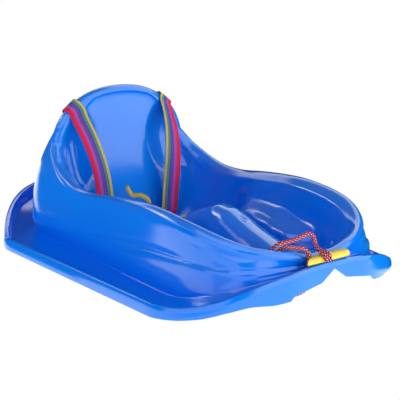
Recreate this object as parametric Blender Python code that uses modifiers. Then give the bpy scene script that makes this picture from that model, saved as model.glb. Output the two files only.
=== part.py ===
# Plastic baby sled in metres: +X to the nose, +Y to the rider's left, ground at Z = 0.
import bpy
import bmesh
import numpy as np
from mathutils import Matrix, Vector
from mathutils.bvhtree import BVHTree

WALL = 0.003
CLEAR = 0.0003

# Flange: the low outer skirt with its rounded lip, raised at both ends.
LIP_LONG, LIP_HALF = 0.733, 0.211
LIP_FRONT = 0.371
LIP_REAR = LIP_FRONT - LIP_LONG
ORIGIN_X = (LIP_FRONT + LIP_REAR) / 2 + 0.00175
BOW_X, STERN_X = 0.243, -0.172
LIP_NOSE_Z, LIP_SIDE_Z, LIP_TAIL_Z = 0.072, 0.0225, 0.067
NOSE_POWERS, TAIL_POWERS = (1.5, 3.0), (1.0, 2.1)
SKIRT_FLARE, SKIRT_TUCK = 0.003, 0.004
SKIRT_SIDE_Z, SKIRT_TAIL_Z = 0.004, 0.047
NOTCH_TOP_Z, NOTCH_HALF = 0.062, 0.023
SKIRT_STEP_Y = 0.075
LIP_WIDTH = 0.006
LIP_BULGE, LIP_BULGE_Y = 0.004, 0.072
GUTTER_SIDE_Z, GUTTER_NOSE_Z, GUTTER_TAIL_Z = 0.0165, 0.060, 0.040
GUTTER_NOSE, GUTTER_SIDE, GUTTER_TAIL = 0.0085, 0.0125, 0.016
GUTTER_BOW_X, GUTTER_STERN_X, GUTTER_TAIL_POWERS = 0.237, -0.160, (1.2, 2.3)

# Tub: rail crest, backrest arch, floor and the ridge between the legs.
FOOT_FRONT, FOOT_REAR, FOOT_HALF_FRONT, FOOT_HALF_REAR = 0.3535, -0.262, 0.160, 0.143
FOOT_BOW_X, FOOT_STERN_X, FOOT_TAIL_Z = 0.215, -0.150, 0.021
FOOT_POWERS, FOOT_TAIL_POWERS = (2.5, 3.2), (2.9, 2.9)
STEP_FRONT, STEP_REAR, STEP_HALF = 0.3525, -0.257, 0.157
STEP_BOW_X, STEP_STERN_X = 0.215, -0.140
STEP_HEIGHTS = (0.0655, 0.066, 0.043, 0.038)
STEP_POWERS, STEP_TAIL_POWERS = (2.6, 3.0), (2.9, 2.9)
ARCH_X, ARCH_HALF, ARCH_BASE_Z, ARCH_TOP_Z = -0.148, 0.133, 0.150, 0.2605
ARCH_POWER = 2.2
RAIL = (
    (0.3460, 0.0000, 0.0795), (0.3460, 0.0250, 0.0815), (0.3435, 0.0500, 0.0870), (0.3350, 0.0760, 0.0915),
    (0.3180, 0.1020, 0.0975), (0.2960, 0.1220, 0.1065), (0.2660, 0.1370, 0.1165), (0.2300, 0.1440, 0.1240),
    (0.1900, 0.1465, 0.1290), (0.1500, 0.1475, 0.1310), (0.1050, 0.1490, 0.1290), (0.0550, 0.1490, 0.1250),
    (0.0100, 0.1485, 0.1200), (-0.0350, 0.1475, 0.1205), (-0.0700, 0.1475, 0.1275), (-0.1000, 0.1465, 0.1385),
    (-0.1270, 0.1415, 0.1530), (-0.1430, 0.1345, 0.1690),
)
SHOULDER_DROP, HIP_DROP = 0.010, 0.013
FLOOR_FRONT, FLOOR_REAR, FLOOR_HALF = 0.305, -0.112, 0.098
FLOOR_BOW_X, FLOOR_STERN_X, FLOOR_POWERS, FLOOR_TAIL_POWERS = 0.205, -0.030, (2.3, 2.6), (2.4, 2.8)
CREASE_Y, CREASE_Z = 0.113, 0.075
ROLL_Y, ROLL_Z = 0.084, 0.053
RIDGE = (
    (-0.030, 0.000), (0.000, 0.026), (0.029, 0.057), (0.087, 0.087), (0.131, 0.103), (0.157, 0.100),
    (0.206, 0.082), (0.272, 0.0635), (0.310, 0.062),
)
RIDGE_HALF = 0.039
SCOOP_Y, SCOOP_Z, SCOOP_HALF_Y, SCOOP_HALF_Z, SCOOP_DEPTH = 0.088, 0.170, 0.050, 0.078, 0.020

# Webbing and its fittings.
WEB_WIDTH, WEB_THICK = 0.028, 0.0016
FOLD_LONG, FOLD_THICK = 0.006, 0.0042
SLOT_LONG, SLOT_WIDE, SLOT_DROP = WEB_WIDTH + 0.004, 0.0055, 0.050
LOW_SLOT = (-0.1025, 0.0620, 0.0306)
KEEPER = (WEB_WIDTH + 0.006, 0.010, 0.0045)
BACK_KEEPER_IN, LOW_KEEPER_IN = 0.0092, 0.0181
STRAP_Y = 0.095
STRAP_TWIST = {1: 24.0, -1: -14.0}
STRAP_HANG = (
    (-0.1250, 0.0885, 0.2110), (-0.1080, 0.0835, 0.1840), (-0.0950, 0.0770, 0.1500), (-0.0895, 0.0715, 0.1180),
    (-0.0885, 0.0675, 0.0880), (-0.0880, 0.0645, 0.0600), (-0.0885, 0.0630, 0.0420), (-0.0935, 0.0620, 0.0335),
)
BELT_X, BELT_Z, BELT_END = -0.055, 0.0255, 0.1279
BUCKLE_HIGH, BUCKLE_THICK, SOCKET_LONG, INSERT_LONG = WEB_WIDTH + 0.011, 0.012, 0.036, 0.019
BUCKLE_JOINT_Y = 0.006
PRONG_THICK, PRONG_LONG, PRONG_Z = 0.0050, 0.0155, 0.0100
BELT_START = {1: 0.0185, -1: 0.0215}
TAIL_FOOT, TAIL_WIDTH = (-0.0555, -0.0120, BELT_Z + BUCKLE_HIGH / 2 + 0.0004), 0.020
TAIL_WAY = (0.614, 0.789, 0.0)
TAIL_CURL = (
    (0.0000, 0.0000), (0.0004, 0.0040), (0.0026, 0.0110), (0.0062, 0.0180), (0.0085, 0.0260), (0.0065, 0.0335),
    (0.0000, 0.0385), (-0.0065, 0.0412), (-0.0125, 0.0412), (-0.0180, 0.0405), (-0.0235, 0.0455), (-0.0288, 0.0560),
)

# Rope and handle.
ROPE = 0.006
HOLE, HOLE_AT = 0.0080, (0.3582, -0.0345, 0.0590)
ROPE_TAIL = (
    (0.3515, -0.0760, 0.0310), (0.3540, -0.0650, 0.0310), (0.3566, -0.0530, 0.0320), (0.3578, -0.0420, 0.0345),
    (0.3582, -0.0360, 0.0395), (0.3582, -0.0345, 0.0450),
)
ROPE_OUT = (
    (0.3582, -0.0345, 0.0680), (0.3580, -0.0330, 0.0780), (0.3565, -0.0335, 0.0860), (0.3520, -0.0400, 0.0915),
    (0.3455, -0.0490, 0.0930),
)
ROPE_WELL = (
    (0.3375, -0.0570, 0.0934), (0.3272, -0.0600, 0.0870), (0.3155, -0.0605, 0.0730), (0.3015, -0.0605, 0.0540),
    (0.2760, -0.0600, 0.0325),
    (0.2450, -0.0590, 0.0140), (0.2000, -0.0565, 0.0088), (0.1400, -0.0570, 0.0086), (0.0700, -0.0586, 0.0086),
    (0.0200, -0.0592, 0.0088), (-0.0050, -0.0625, 0.0086), (-0.0170, -0.0715, 0.0082), (-0.0100, -0.0810, 0.0085),
    (0.0200, -0.0760, 0.0085), (0.0700, -0.0680, 0.0095), (0.1400, -0.0680, 0.0095), (0.2000, -0.0710, 0.0105),
    (0.2400, -0.0760, 0.0170), (0.2680, -0.0790, 0.0330), (0.2950, -0.0760, 0.0540), (0.3130, -0.0730, 0.0740),
    (0.3240, -0.0700, 0.0890),
)
ROPE_BACK = (
    (0.3340, -0.0655, 0.0985), (0.3395, -0.0555, 0.1010), (0.3420, -0.0450, 0.1025), (0.3435, -0.0350, 0.1050),
    (0.3442, -0.0270, 0.1075), (0.3450, -0.0195, 0.1070), (0.3458, -0.0143, 0.1030), (0.3468, -0.0125, 0.0972),
    (0.3493, -0.0130, 0.0920), (0.3538, -0.0142, 0.0891), (0.3588, -0.0150, 0.0875),
)
HANDLE_LONG, HANDLE_WIDE, HANDLE_THICK, HANDLE_WALL = 0.079, 0.0150, 0.0095, 0.0016
HANDLE_AT, HANDLE_RISE, HANDLE_SLANT = (0.3650, -0.0098, 0.0774), 0.012, 0.022
KNOT_Y, KNOT_SPREAD, KNOT_LIFT = -0.0150, 0.0034, 0.0004
STOP_TURNS, STOP_GAP, STOP_DROP = 1.2, 0.0006, 0.0052

FRONT_STATIONS, SIDE_STATIONS, REAR_STATIONS = 16, 9, 17
STATIONS = FRONT_STATIONS + SIDE_STATIONS + REAR_STATIONS + 1


def clear_scene():
    for old in list(bpy.data.objects):
        bpy.data.objects.remove(old, do_unlink=True)
    for old in list(bpy.data.collections):
        bpy.data.collections.remove(old)


def material(name, colour, roughness):
    made = bpy.data.materials.new(name)
    made.use_nodes = True
    shader = made.node_tree.nodes["Principled BSDF"]
    shader.inputs["Base Color"].default_value = (*colour, 1.0)
    shader.inputs["Roughness"].default_value = roughness
    made.diffuse_color = (*colour, 1.0)
    return made


def add_mesh(name, points, faces, mat, where, smooth=True):
    mesh = bpy.data.meshes.new(name)
    mesh.from_pydata([tuple(map(float, p)) for p in points], [], faces)
    mesh.materials.append(mat)
    work = bmesh.new()
    work.from_mesh(mesh)
    bmesh.ops.recalc_face_normals(work, faces=work.faces)
    work.to_mesh(mesh)
    work.free()
    mesh.validate()
    obj = bpy.data.objects.new(name, mesh)
    where.objects.link(obj)
    if smooth:
        mesh.polygons.foreach_set("use_smooth", [True] * len(mesh.polygons))
        mesh.set_sharp_from_angle(angle=np.radians(40))
    return obj


def ease(t):
    t = np.clip(t, 0.0, 1.0)
    return t * t * (3.0 - 2.0 * t)


def evenly(points, count, warp=1.0):
    points = np.asarray(points, float)
    along = np.r_[0, np.cumsum(np.linalg.norm(np.diff(points, axis=0), axis=1))]
    want = along[-1] * np.linspace(0, 1, count + 1) ** warp
    return np.stack([np.interp(want, along, points[:, i]) for i in range(3)], 1)


def curve_through(points, steps=12):
    points = np.asarray(points, float)
    ends = np.vstack([2 * points[0] - points[1], points, 2 * points[-1] - points[-2]])
    out = []
    for a, b, c, d in zip(ends[:-3], ends[1:-2], ends[2:-1], ends[3:]):
        for t in np.linspace(0, 1, steps, endpoint=False):
            out.append(0.5 * (2 * b + (c - a) * t + (2 * a - 5 * b + 4 * c - d) * t ** 2
                              + (3 * b - a - 3 * c + d) * t ** 3))
    out.append(points[-1])
    return np.array(out)


def three_parts(front, side, rear):
    parts = [evenly(front, FRONT_STATIONS, 1.35), evenly(side, SIDE_STATIONS)[1:], evenly(rear, REAR_STATIONS)[1:]]
    return np.vstack(parts)


def ring(front, bow, stern, rear, half, nose, tail, heights, rise=3.0, lift=0.85, half_rear=None):
    """Half an outline seen from above, from the nose round to the tail, with its height on the way."""
    z_nose, z_bow, z_stern, z_tail = heights
    half_rear = half if half_rear is None else half_rear
    t = np.linspace(0, np.pi / 2, 240)
    u = np.cos(t) ** (2 / nose[0])
    fore = np.stack([bow + (front - bow) * u, half * np.sin(t) ** (2 / nose[1]),
                     z_bow + (z_nose - z_bow) * u ** rise], 1)
    w = np.linspace(0, 1, 60)
    side = np.stack([bow + (stern - bow) * w, half + (half_rear - half) * ease(w),
                     z_bow + (z_stern - z_bow) * ease(w)], 1)
    u = np.sin(t) ** (2 / tail[0])
    aft = np.stack([stern + (rear - stern) * u, half_rear * np.cos(t) ** (2 / tail[1]),
                    z_stern + (z_tail - z_stern) * u ** lift], 1)
    return three_parts(fore, side, aft)


def inset(row, distance, drop=0.0):
    tangent = np.gradient(row[:, :2], axis=0)
    inward = np.stack([-tangent[:, 1], tangent[:, 0]], 1)
    inward /= np.linalg.norm(inward, axis=1)[:, None]
    inward[0] = (-1, 0)
    inward[-1] = (1, 0)
    out = row.copy()
    out[:, :2] += inward * distance
    out[:, 2] -= drop
    return out


def skirt_foot(lip):
    row = inset(lip, -SKIRT_FLARE)
    tail = inset(lip, SKIRT_TUCK)
    tuck = ease((-lip[:, 0] + STERN_X + 0.02) / 0.06)[:, None]
    row = row + (tail - row) * tuck
    x, y = row[:, 0], row[:, 1]
    bow = np.interp(y, (0.0, NOTCH_HALF, 0.062, 0.110, 0.140, 0.160, 0.180, 0.200, 0.214),
                    (NOTCH_TOP_Z, 0.046, 0.040, 0.033, 0.027, 0.021, 0.013, 0.007, SKIRT_SIDE_Z))
    bow = bow - 0.006 * ease((y - SKIRT_STEP_Y + 0.003) / 0.006) * ease((0.135 - y) / 0.04)
    share = np.clip((x - STERN_X) / (LIP_REAR - STERN_X), 0, 1)
    stern = SKIRT_SIDE_Z + (SKIRT_TAIL_Z - SKIRT_SIDE_Z) * share ** 0.95
    row[:, 2] = np.where(x > 0, np.where(x > BOW_X - 0.01, bow, SKIRT_SIDE_Z), stern)
    return row


def crest():
    rail = curve_through(RAIL)
    t = np.linspace(0.16, np.pi / 2, 120)
    arch = np.stack([0 * t + ARCH_X, ARCH_HALF * np.cos(t) ** (2 / ARCH_POWER),
                     ARCH_BASE_Z + (ARCH_TOP_Z - ARCH_BASE_Z) * np.sin(t) ** (2 / ARCH_POWER)], 1)
    arch[-1, 1] = 0.0
    path = np.vstack([rail, arch[arch[:, 2] > rail[-1, 2] + 0.006]])
    bow = int(np.argmin(abs(path[:, 0] - 0.190) + 9 * (path[:, 0] < 0)))
    dip = int(np.argmin(abs(path[:, 0] + 0.035)))
    return three_parts(path[:bow + 1], path[bow:dip + 1], path[dip:])


def crest_frames(row):
    tangent = np.gradient(row, axis=0)
    tangent[0] = (0, 1, 0)
    tangent[-1] = (0, -1, 0)
    tangent /= np.linalg.norm(tangent, axis=1)[:, None]
    first = FRONT_STATIONS + SIDE_STATIONS
    turn = np.pi / 2 * (1 + ease((np.arange(len(row)) - first) / 8.0))
    out = np.stack([np.cos(turn), np.sin(turn), 0 * turn], 1)
    plan = np.stack([tangent[:, 1], -tangent[:, 0], 0 * turn], 1)
    plan /= np.maximum(np.linalg.norm(plan, axis=1)[:, None], 1e-9)
    out[:first] = plan[:first]
    up = np.cross(out, tangent)
    up /= np.linalg.norm(up, axis=1)[:, None]
    return out, up


def hip(x):
    return ease((x - 0.03) / 0.10) * ease((0.345 - x) / 0.06)


def floor_height(x, y):
    ridge = np.interp(x, [p[0] for p in RIDGE], [p[1] for p in RIDGE])
    half = RIDGE_HALF * (0.6 + 0.4 * ease((x + 0.03) / 0.08))
    share = 1 - ease((np.abs(y) / half - 0.22) / 0.95)
    nose = 0.034 * ease((x - 0.235) / 0.075) ** 1.4
    flat = WALL + nose * (1 - share)
    return flat + ridge * share


def scoop(y, z):
    inside = 1 - ((np.abs(y) - SCOOP_Y) / SCOOP_HALF_Y) ** 2 - ((z - SCOOP_Z) / SCOOP_HALF_Z) ** 2
    return SCOOP_DEPTH * np.clip(inside, 0, 1) ** 0.75


def flange_rows():
    """From the foot of the skirt over the lip and down to the bottom of the gutter."""
    lip = ring(LIP_FRONT, BOW_X, STERN_X, LIP_REAR, LIP_HALF, NOSE_POWERS, TAIL_POWERS,
               (LIP_NOSE_Z, LIP_SIDE_Z, LIP_SIDE_Z, LIP_TAIL_Z))
    lip[:, 0] += LIP_BULGE * np.exp(-((lip[:, 1] - LIP_BULGE_Y) / 0.028) ** 2) * (lip[:, 0] > 0)
    foot = skirt_foot(lip)
    brow = 0.45 * foot + 0.55 * inset(lip, -0.0026)
    gutter = ring(LIP_FRONT - GUTTER_NOSE, GUTTER_BOW_X, GUTTER_STERN_X, LIP_REAR + GUTTER_TAIL,
                  LIP_HALF - GUTTER_SIDE, NOSE_POWERS, GUTTER_TAIL_POWERS,
                  (GUTTER_NOSE_Z, GUTTER_SIDE_Z, GUTTER_SIDE_Z, GUTTER_TAIL_Z), lift=1.1)
    return [foot, brow, inset(lip, -0.0008, 0.0012), inset(lip, 0.0022), inset(lip, LIP_WIDTH, 0.0012), gutter]


def wall_rows(top):
    """From the foot of the tub over the shelf, up its outside and round the rail."""
    out, up = crest_frames(top)
    bulge = hip(top[:, 0])[:, None]
    foot = ring(FOOT_FRONT, FOOT_BOW_X, FOOT_STERN_X, FOOT_REAR, FOOT_HALF_FRONT, FOOT_POWERS, FOOT_TAIL_POWERS,
                (GUTTER_NOSE_Z, GUTTER_SIDE_Z, GUTTER_SIDE_Z, FOOT_TAIL_Z), rise=1.6, lift=1.2,
                half_rear=FOOT_HALF_REAR)
    step = ring(STEP_FRONT, STEP_BOW_X, STEP_STERN_X, STEP_REAR, STEP_HALF, STEP_POWERS, STEP_TAIL_POWERS,
                STEP_HEIGHTS, rise=1.0, half_rear=STEP_HALF - 0.006)
    shelf = 0.5 * (foot + step)
    shelf[:, 2] = foot[:, 2] + 0.42 * (step[:, 2] - foot[:, 2])
    low = inset(step, 0.0030)
    low[:, 2] = step[:, 2] + 0.0022
    shoulder = top + out * (0.0075 + 0.0015 * bulge) - up * (SHOULDER_DROP + HIP_DROP * bulge)
    rows = [foot, shelf, step, low]
    stern = ease((np.arange(STATIONS) - FRONT_STATIONS - SIDE_STATIONS + 1) / 7.0)
    for v in (0.28, 0.56, 0.82):
        lean = (0.26 - 0.22 * stern)[:, None]
        knee = low + (shoulder - low) * lean
        knee[:, 2] = low[:, 2] + (0.66 + 0.18 * stern) * (shoulder[:, 2] - low[:, 2])
        rows.append((1 - v) ** 2 * low + 2 * v * (1 - v) * knee + v * v * shoulder)
    rows += [shoulder, top + out * (0.0045 + 0.0025 * bulge) - up * (0.0030 + 0.0035 * bulge), top.copy()]
    rows += [top - out * 0.0065 - up * 0.0022, top - out * (0.0105 + 0.001 * bulge) - up * 0.0095]
    return rows


def past_side(row, y, z):
    out = row.copy()
    out[:, 1] = y
    out[:, 2] = z
    return out


def tub_rows(upper):
    """From inside the rail down over the thigh rolls and the scooped backrest, and across the floor."""
    base = ring(FLOOR_FRONT, FLOOR_BOW_X, FLOOR_STERN_X, FLOOR_REAR, FLOOR_HALF, FLOOR_POWERS, FLOOR_TAIL_POWERS,
                (0, 0, 0, 0))
    base[:, 2] = floor_height(base[:, 0], base[:, 1]) + 0.007
    thigh = (ease((base[:, 0] - 0.02) / 0.05) * ease((0.235 - base[:, 0]) / 0.05))[:, None]
    back = ease((np.arange(STATIONS) - FRONT_STATIONS - SIDE_STATIONS + 1) / 7.0)[:, None]
    crease = 0.66 * upper + 0.34 * base
    crease[:, :2] = 0.80 * upper[:, :2] + 0.20 * base[:, :2]
    crease += thigh * (past_side(crease, CREASE_Y, CREASE_Z) - crease)
    roll = 0.30 * upper + 0.70 * base
    roll[:, :2] = 0.45 * upper[:, :2] + 0.55 * base[:, :2]
    roll += thigh * (past_side(roll, ROLL_Y, ROLL_Z) - roll)
    base[:, 1] -= 0.018 * thigh[:, 0]
    plain = [upper + (base - upper) * s for s in (0.33, 0.70)]
    crease += back * (plain[0] - crease)
    roll += back * (plain[1] - roll)
    rows = []
    for v in (0.16, 0.33, 0.50, 0.66, 0.82, 0.93):
        if v < 0.33:
            row = upper + (crease - upper) * (v / 0.33)
        elif v < 0.70:
            row = crease + (roll - crease) * ((v - 0.33) / 0.37)
        else:
            row = roll + (base - roll) * ((v - 0.70) / 0.30)
        row[:, 0] -= 0.004 * back[:, 0] * np.sin(np.pi * v)
        row[:, 0] -= scoop(row[:, 1], row[:, 2]) * back[:, 0]
        rows.append(row)
    rows.append(base)
    spine_x = np.interp(np.linspace(0, 1, STATIONS), (0, 0.38, 0.60, 1),
                        (FLOOR_FRONT - 0.004, 0.165, 0.020, FLOOR_REAR + 0.004))
    for share in (0.12, 0.36, 0.58, 0.76, 0.90, 1.0):
        row = base.copy()
        row[:, 0] = base[:, 0] + (spine_x - base[:, 0]) * share
        row[:, 1] = base[:, 1] * (1 - share)
        row[:, 2] = floor_height(row[:, 0], row[:, 1])
        rows.append(row)
    return rows


def hull_rows():
    walls = wall_rows(crest())
    return np.array(flange_rows() + walls + tub_rows(walls[-1]))


def grid_faces(rows, columns):
    return [(i * columns + j, i * columns + j + 1, (i + 1) * columns + j + 1, (i + 1) * columns + j)
            for i in range(rows - 1) for j in range(columns - 1)]


def applied(obj):
    graph = bpy.context.evaluated_depsgraph_get()
    mesh = bpy.data.meshes.new_from_object(obj.evaluated_get(graph), depsgraph=graph)
    obj.modifiers.clear()
    obj.data = mesh
    return obj


def cut(obj, cutter):
    knife = obj.modifiers.new("cut", "BOOLEAN")
    knife.operation = "DIFFERENCE"
    knife.solver = "EXACT"
    knife.object = cutter


def box(name, size, centre, axes, mat, where, bevel=0.0, segments=1):
    mesh = bpy.data.meshes.new(name)
    work = bmesh.new()
    turned = Matrix([[float(axes[k][i]) for k in range(3)] for i in range(3)]).to_4x4()
    placed = Matrix.Translation(Vector(centre)) @ turned @ Matrix.Diagonal((*size, 1.0))
    bmesh.ops.create_cube(work, size=1.0, matrix=placed)
    bmesh.ops.recalc_face_normals(work, faces=work.faces)
    work.to_mesh(mesh)
    work.free()
    mesh.materials.append(mat)
    obj = bpy.data.objects.new(name, mesh)
    where.objects.link(obj)
    if bevel:
        edge = obj.modifiers.new("edge", "BEVEL")
        edge.width = bevel
        edge.segments = segments
        edge.limit_method = "NONE"
    return obj


def ribbon(name, path, across, mat, where, width=WEB_WIDTH, thick=None):
    path = np.asarray(path, float)
    across = np.asarray(across, float)
    tangent = np.gradient(path, axis=0)
    tangent /= np.linalg.norm(tangent, axis=1)[:, None]
    across = across - (across * tangent).sum(1)[:, None] * tangent
    across /= np.linalg.norm(across, axis=1)[:, None]
    normal = np.cross(tangent, across)
    thick = np.full(len(path), WEB_THICK) if thick is None else np.asarray(thick)
    points = []
    for p, a, n, h in zip(path, across, normal, thick):
        for s, t in ((-1, -1), (1, -1), (1, 1), (-1, 1)):
            points.append(p + a * s * width / 2 + n * t * h / 2)
    count = len(path)
    faces = [(4 * i + k, 4 * i + (k + 1) % 4, 4 * i + 4 + (k + 1) % 4, 4 * i + 4 + k)
             for i in range(count - 1) for k in range(4)]
    faces += [(0, 1, 2, 3), tuple(4 * count - 4 + k for k in (3, 2, 1, 0))]
    return add_mesh(name, points, faces, mat, where)


def welded(made, name, mat, where):
    graph = bpy.context.evaluated_depsgraph_get()
    mesh = bpy.data.meshes.new_from_object(made.evaluated_get(graph), depsgraph=graph)
    mesh.transform(made.matrix_world)
    bpy.data.objects.remove(made, do_unlink=True)
    work = bmesh.new()
    work.from_mesh(mesh)
    bmesh.ops.remove_doubles(work, verts=work.verts, dist=1e-6)
    bmesh.ops.recalc_face_normals(work, faces=work.faces)
    work.to_mesh(mesh)
    work.free()
    mesh.materials.clear()
    mesh.materials.append(mat)
    obj = bpy.data.objects.new(name, mesh)
    where.objects.link(obj)
    mesh.polygons.foreach_set("use_smooth", [True] * len(mesh.polygons))
    mesh.set_sharp_from_angle(angle=np.radians(40))
    return obj


def cord(name, points, mat, where):
    data = bpy.data.curves.new(name, "CURVE")
    data.dimensions = "3D"
    data.bevel_depth = ROPE / 2
    data.bevel_resolution = 2
    data.use_fill_caps = True
    line = data.splines.new("POLY")
    line.points.add(len(points) - 1)
    for slot, p in zip(line.points, points):
        slot.co = (*map(float, p), 1.0)
    made = bpy.data.objects.new(name, data)
    where.objects.link(made)
    return welded(made, name, mat, where)


def run_length(points):
    return np.r_[0, np.cumsum(np.linalg.norm(np.diff(points, axis=0), axis=1))]


def thinned(points, spacing):
    points = np.asarray(points, float)
    along = run_length(points)
    want = np.linspace(0, along[-1], max(2, int(np.ceil(along[-1] / spacing))) + 1)
    return np.stack([np.interp(want, along, points[:, i]) for i in range(3)], 1)


def make_hull(rows):
    hull = add_mesh("hull", rows.reshape(-1, 3), grid_faces(len(rows), STATIONS), shell_blue, sled)
    mirror = hull.modifiers.new("halves", "MIRROR")
    mirror.use_axis = (False, True, False)
    mirror.merge_threshold = 0.0001
    wall = hull.modifiers.new("wall", "SOLIDIFY")
    wall.thickness = WALL
    wall.offset = -1.0
    return hull


def skin_of(rows):
    """The hull's upper skin, both halves, to lay straps and rope on."""
    half = rows.reshape(-1, 3)
    faces = grid_faces(len(rows), STATIONS)
    both = [Vector(p) for p in np.vstack([half, half * (1, -1, 1)])]
    return BVHTree.FromPolygons(both, faces + [tuple(k + len(half) for k in f) for f in faces])


def on_back(point, along):
    """Moves a strap's middle line to just behind the backrest, clear of it across the whole width."""
    hits = []
    for share in (-0.5, -0.25, 0.0, 0.25, 0.5):
        start = Vector(point + along * share * WEB_WIDTH + (-0.2, 0, 0))
        hit, normal = skin.ray_cast(start, Vector((1, 0, 0)))[:2]
        hits.append(hit.x - (WEB_THICK / 2 + 2 * CLEAR) / abs(normal.x))
    return np.array((min(hits), point[1], point[2]))


def strap_path(side):
    """From its keeper inside the backrest out through the slot, up the back, over the rim and down."""
    height = ARCH_TOP_Z - ARCH_BASE_Z
    z = ARCH_BASE_Z + height * (1 - (STRAP_Y / ARCH_HALF) ** ARCH_POWER) ** (1 / ARCH_POWER)
    slope = height / ARCH_HALF * (STRAP_Y / ARCH_HALF) ** (ARCH_POWER - 1)
    tilt = np.arctan(slope / ((z - ARCH_BASE_Z) / height) ** (ARCH_POWER - 1))
    over = np.array([0, np.sin(tilt), np.cos(tilt)])
    along = np.array([0, np.cos(tilt), -np.sin(tilt)])
    top = np.array([ARCH_X, STRAP_Y, z])
    back = [on_back(top - over * n, along) for n in (0.0455, 0.0400, 0.0345, 0.0290, 0.0240, 0.0195, 0.0150)]
    slot = np.array(skin.ray_cast(Vector(top - over * SLOT_DROP + (-0.2, 0, 0)), Vector((1, 0, 0)))[0])
    upward = back[2] - back[0]
    upward /= np.linalg.norm(upward)
    inward = np.cross(along, upward)
    inward *= np.sign(inward[0])
    inside = [slot + inward * d for d in (0.0185, 0.0125, 0.006, 0.001)]
    bend = [slot - inward * 0.0024 + upward * 0.0012]
    rim = [top + over * n + np.array([q, 0, 0]) for q, n in
           ((-0.0108, -0.0088), (-0.0068, -0.0010), (-0.0015, 0.0022), (0.0040, 0.0018), (0.0092, -0.0010),
            (0.0136, -0.0085))]
    low = [np.array(LOW_SLOT) + (d, 0, 0) for d in (0.0015, -0.0055, -0.0135, -0.0270)]
    low[0] += (0, 0, 0.0004)
    tied = inside + bend + back + rim
    path = np.array(tied + [np.array(p) for p in STRAP_HANG] + low)
    index = np.arange(len(path)) - len(tied) + 1
    turn = ease(index / 5.0)[:, None]
    twist = np.radians(STRAP_TWIST[side]) * np.interp(index, (1, 4, 7, 8.5), (0, 1, 0.8, 0))
    across = along * (1 - turn) + np.stack([np.sin(twist), np.cos(twist), 0 * twist], 1) * turn
    flip = (1, side, 1)
    return path * flip, across * flip, (slot * flip, inward * flip, along * flip)


def resampled(path, across, spacing, folds):
    """Points along a ribbon, closer where it bends hard, with the steps where its end is folded."""
    fine = curve_through(path, 10)
    share = np.linspace(0, len(path) - 1, len(fine))
    wide = np.stack([np.interp(share, np.arange(len(path)), across[:, i]) for i in range(3)], 1)
    along = run_length(fine)
    total = along[-1]
    want = np.linspace(0, total, int(total / spacing) + 1)
    if folds:
        want = np.r_[want[(want < 0.010) | (want > 0.031)], np.arange(0.012, 0.030, 0.0025)]
        edges = (FOLD_LONG, total - FOLD_LONG)
        steps = [e + d for e in edges for d in (-0.0002, 0.0002)]
        want = np.array(sorted([w for w in want if all(abs(w - s) > 0.0015 for s in steps)] + steps))
    thick = np.full(len(want), WEB_THICK)
    if folds:
        thick[(want <= edges[0]) | (want >= edges[1])] = FOLD_THICK
    pts = np.stack([np.interp(want, along, fine[:, i]) for i in range(3)], 1)
    wid = np.stack([np.interp(want, along, wide[:, i]) for i in range(3)], 1)
    return pts, wid, thick


def keeper(name, centre, through, across):
    """Small plastic ladder that stops the folded end of the webbing at its slot."""
    through = np.asarray(through, float) / np.linalg.norm(through)
    across = np.asarray(across, float) / np.linalg.norm(across)
    axes = (across, np.cross(through, across), through)
    body = box(name, KEEPER, centre, axes, nylon_black, sled, 0.0008)
    hole = (WEB_WIDTH + 2 * CLEAR, WEB_THICK + 2 * CLEAR, 0.02)
    cut(body, box(name + "_slot", hole, centre, axes, nylon_black, cutters))
    return body


def make_strap(side, word):
    """One shoulder strap with its two keepers; returns the cutters of its slots in the hull."""
    path, across, (slot, inward, along) = strap_path(side)
    pts, wid, thick = resampled(path, across, 0.0058, True)
    ribbon("shoulder_strap_" + word, pts, wid, web_red, sled, thick=thick)
    low = np.array(LOW_SLOT) * (1, side, 1)
    keeper("strap_keeper_back_" + word, slot + inward * BACK_KEEPER_IN, inward, along)
    keeper("strap_keeper_low_" + word, low - (LOW_KEEPER_IN, 0, 0), (1, 0, 0), (0, 1, 0))
    third = np.cross(inward, along)
    back_size, low_size = (SLOT_LONG, SLOT_WIDE, 0.022), (0.034, SLOT_LONG, SLOT_WIDE)
    return [box("slot_back_" + word, back_size, slot, (along, third, inward), shell_blue, cutters),
            box("slot_low_" + word, low_size, low, np.eye(3), shell_blue, cutters)]


def make_lap_belt(side, word):
    """One half of the lap belt with its keeper; returns the cutter of its slot in the hull."""
    near, fold = BELT_START[side], BELT_END - FOLD_LONG
    ys = np.r_[np.linspace(near, fold - 0.0002, 9), fold + 0.0002, BELT_END]
    line = np.stack([0 * ys + BELT_X, ys * side, 0 * ys + BELT_Z], 1)
    thick = np.full(len(ys), WEB_THICK)
    thick[-2:] = FOLD_THICK
    ribbon("lap_belt_" + word, line, np.tile((0.0, 0.0, 1.0), (len(ys), 1)), web_red, sled, thick=thick)
    seat = fold - 0.0004 - KEEPER[2] / 2
    keeper("belt_keeper_" + word, (BELT_X, seat * side, BELT_Z), (0, 1, 0), (0, 0, 1))
    size = (SLOT_WIDE, 0.026, SLOT_LONG)
    return [box("slot_side_" + word, size, (BELT_X, 0.104 * side, BELT_Z), np.eye(3), shell_blue, cutters)]


def in_buckle(name, size, y, z=0.0):
    return box(name, size, (BELT_X, BUCKLE_JOINT_Y + y, BELT_Z + z), np.eye(3), nylon_black, cutters)


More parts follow.
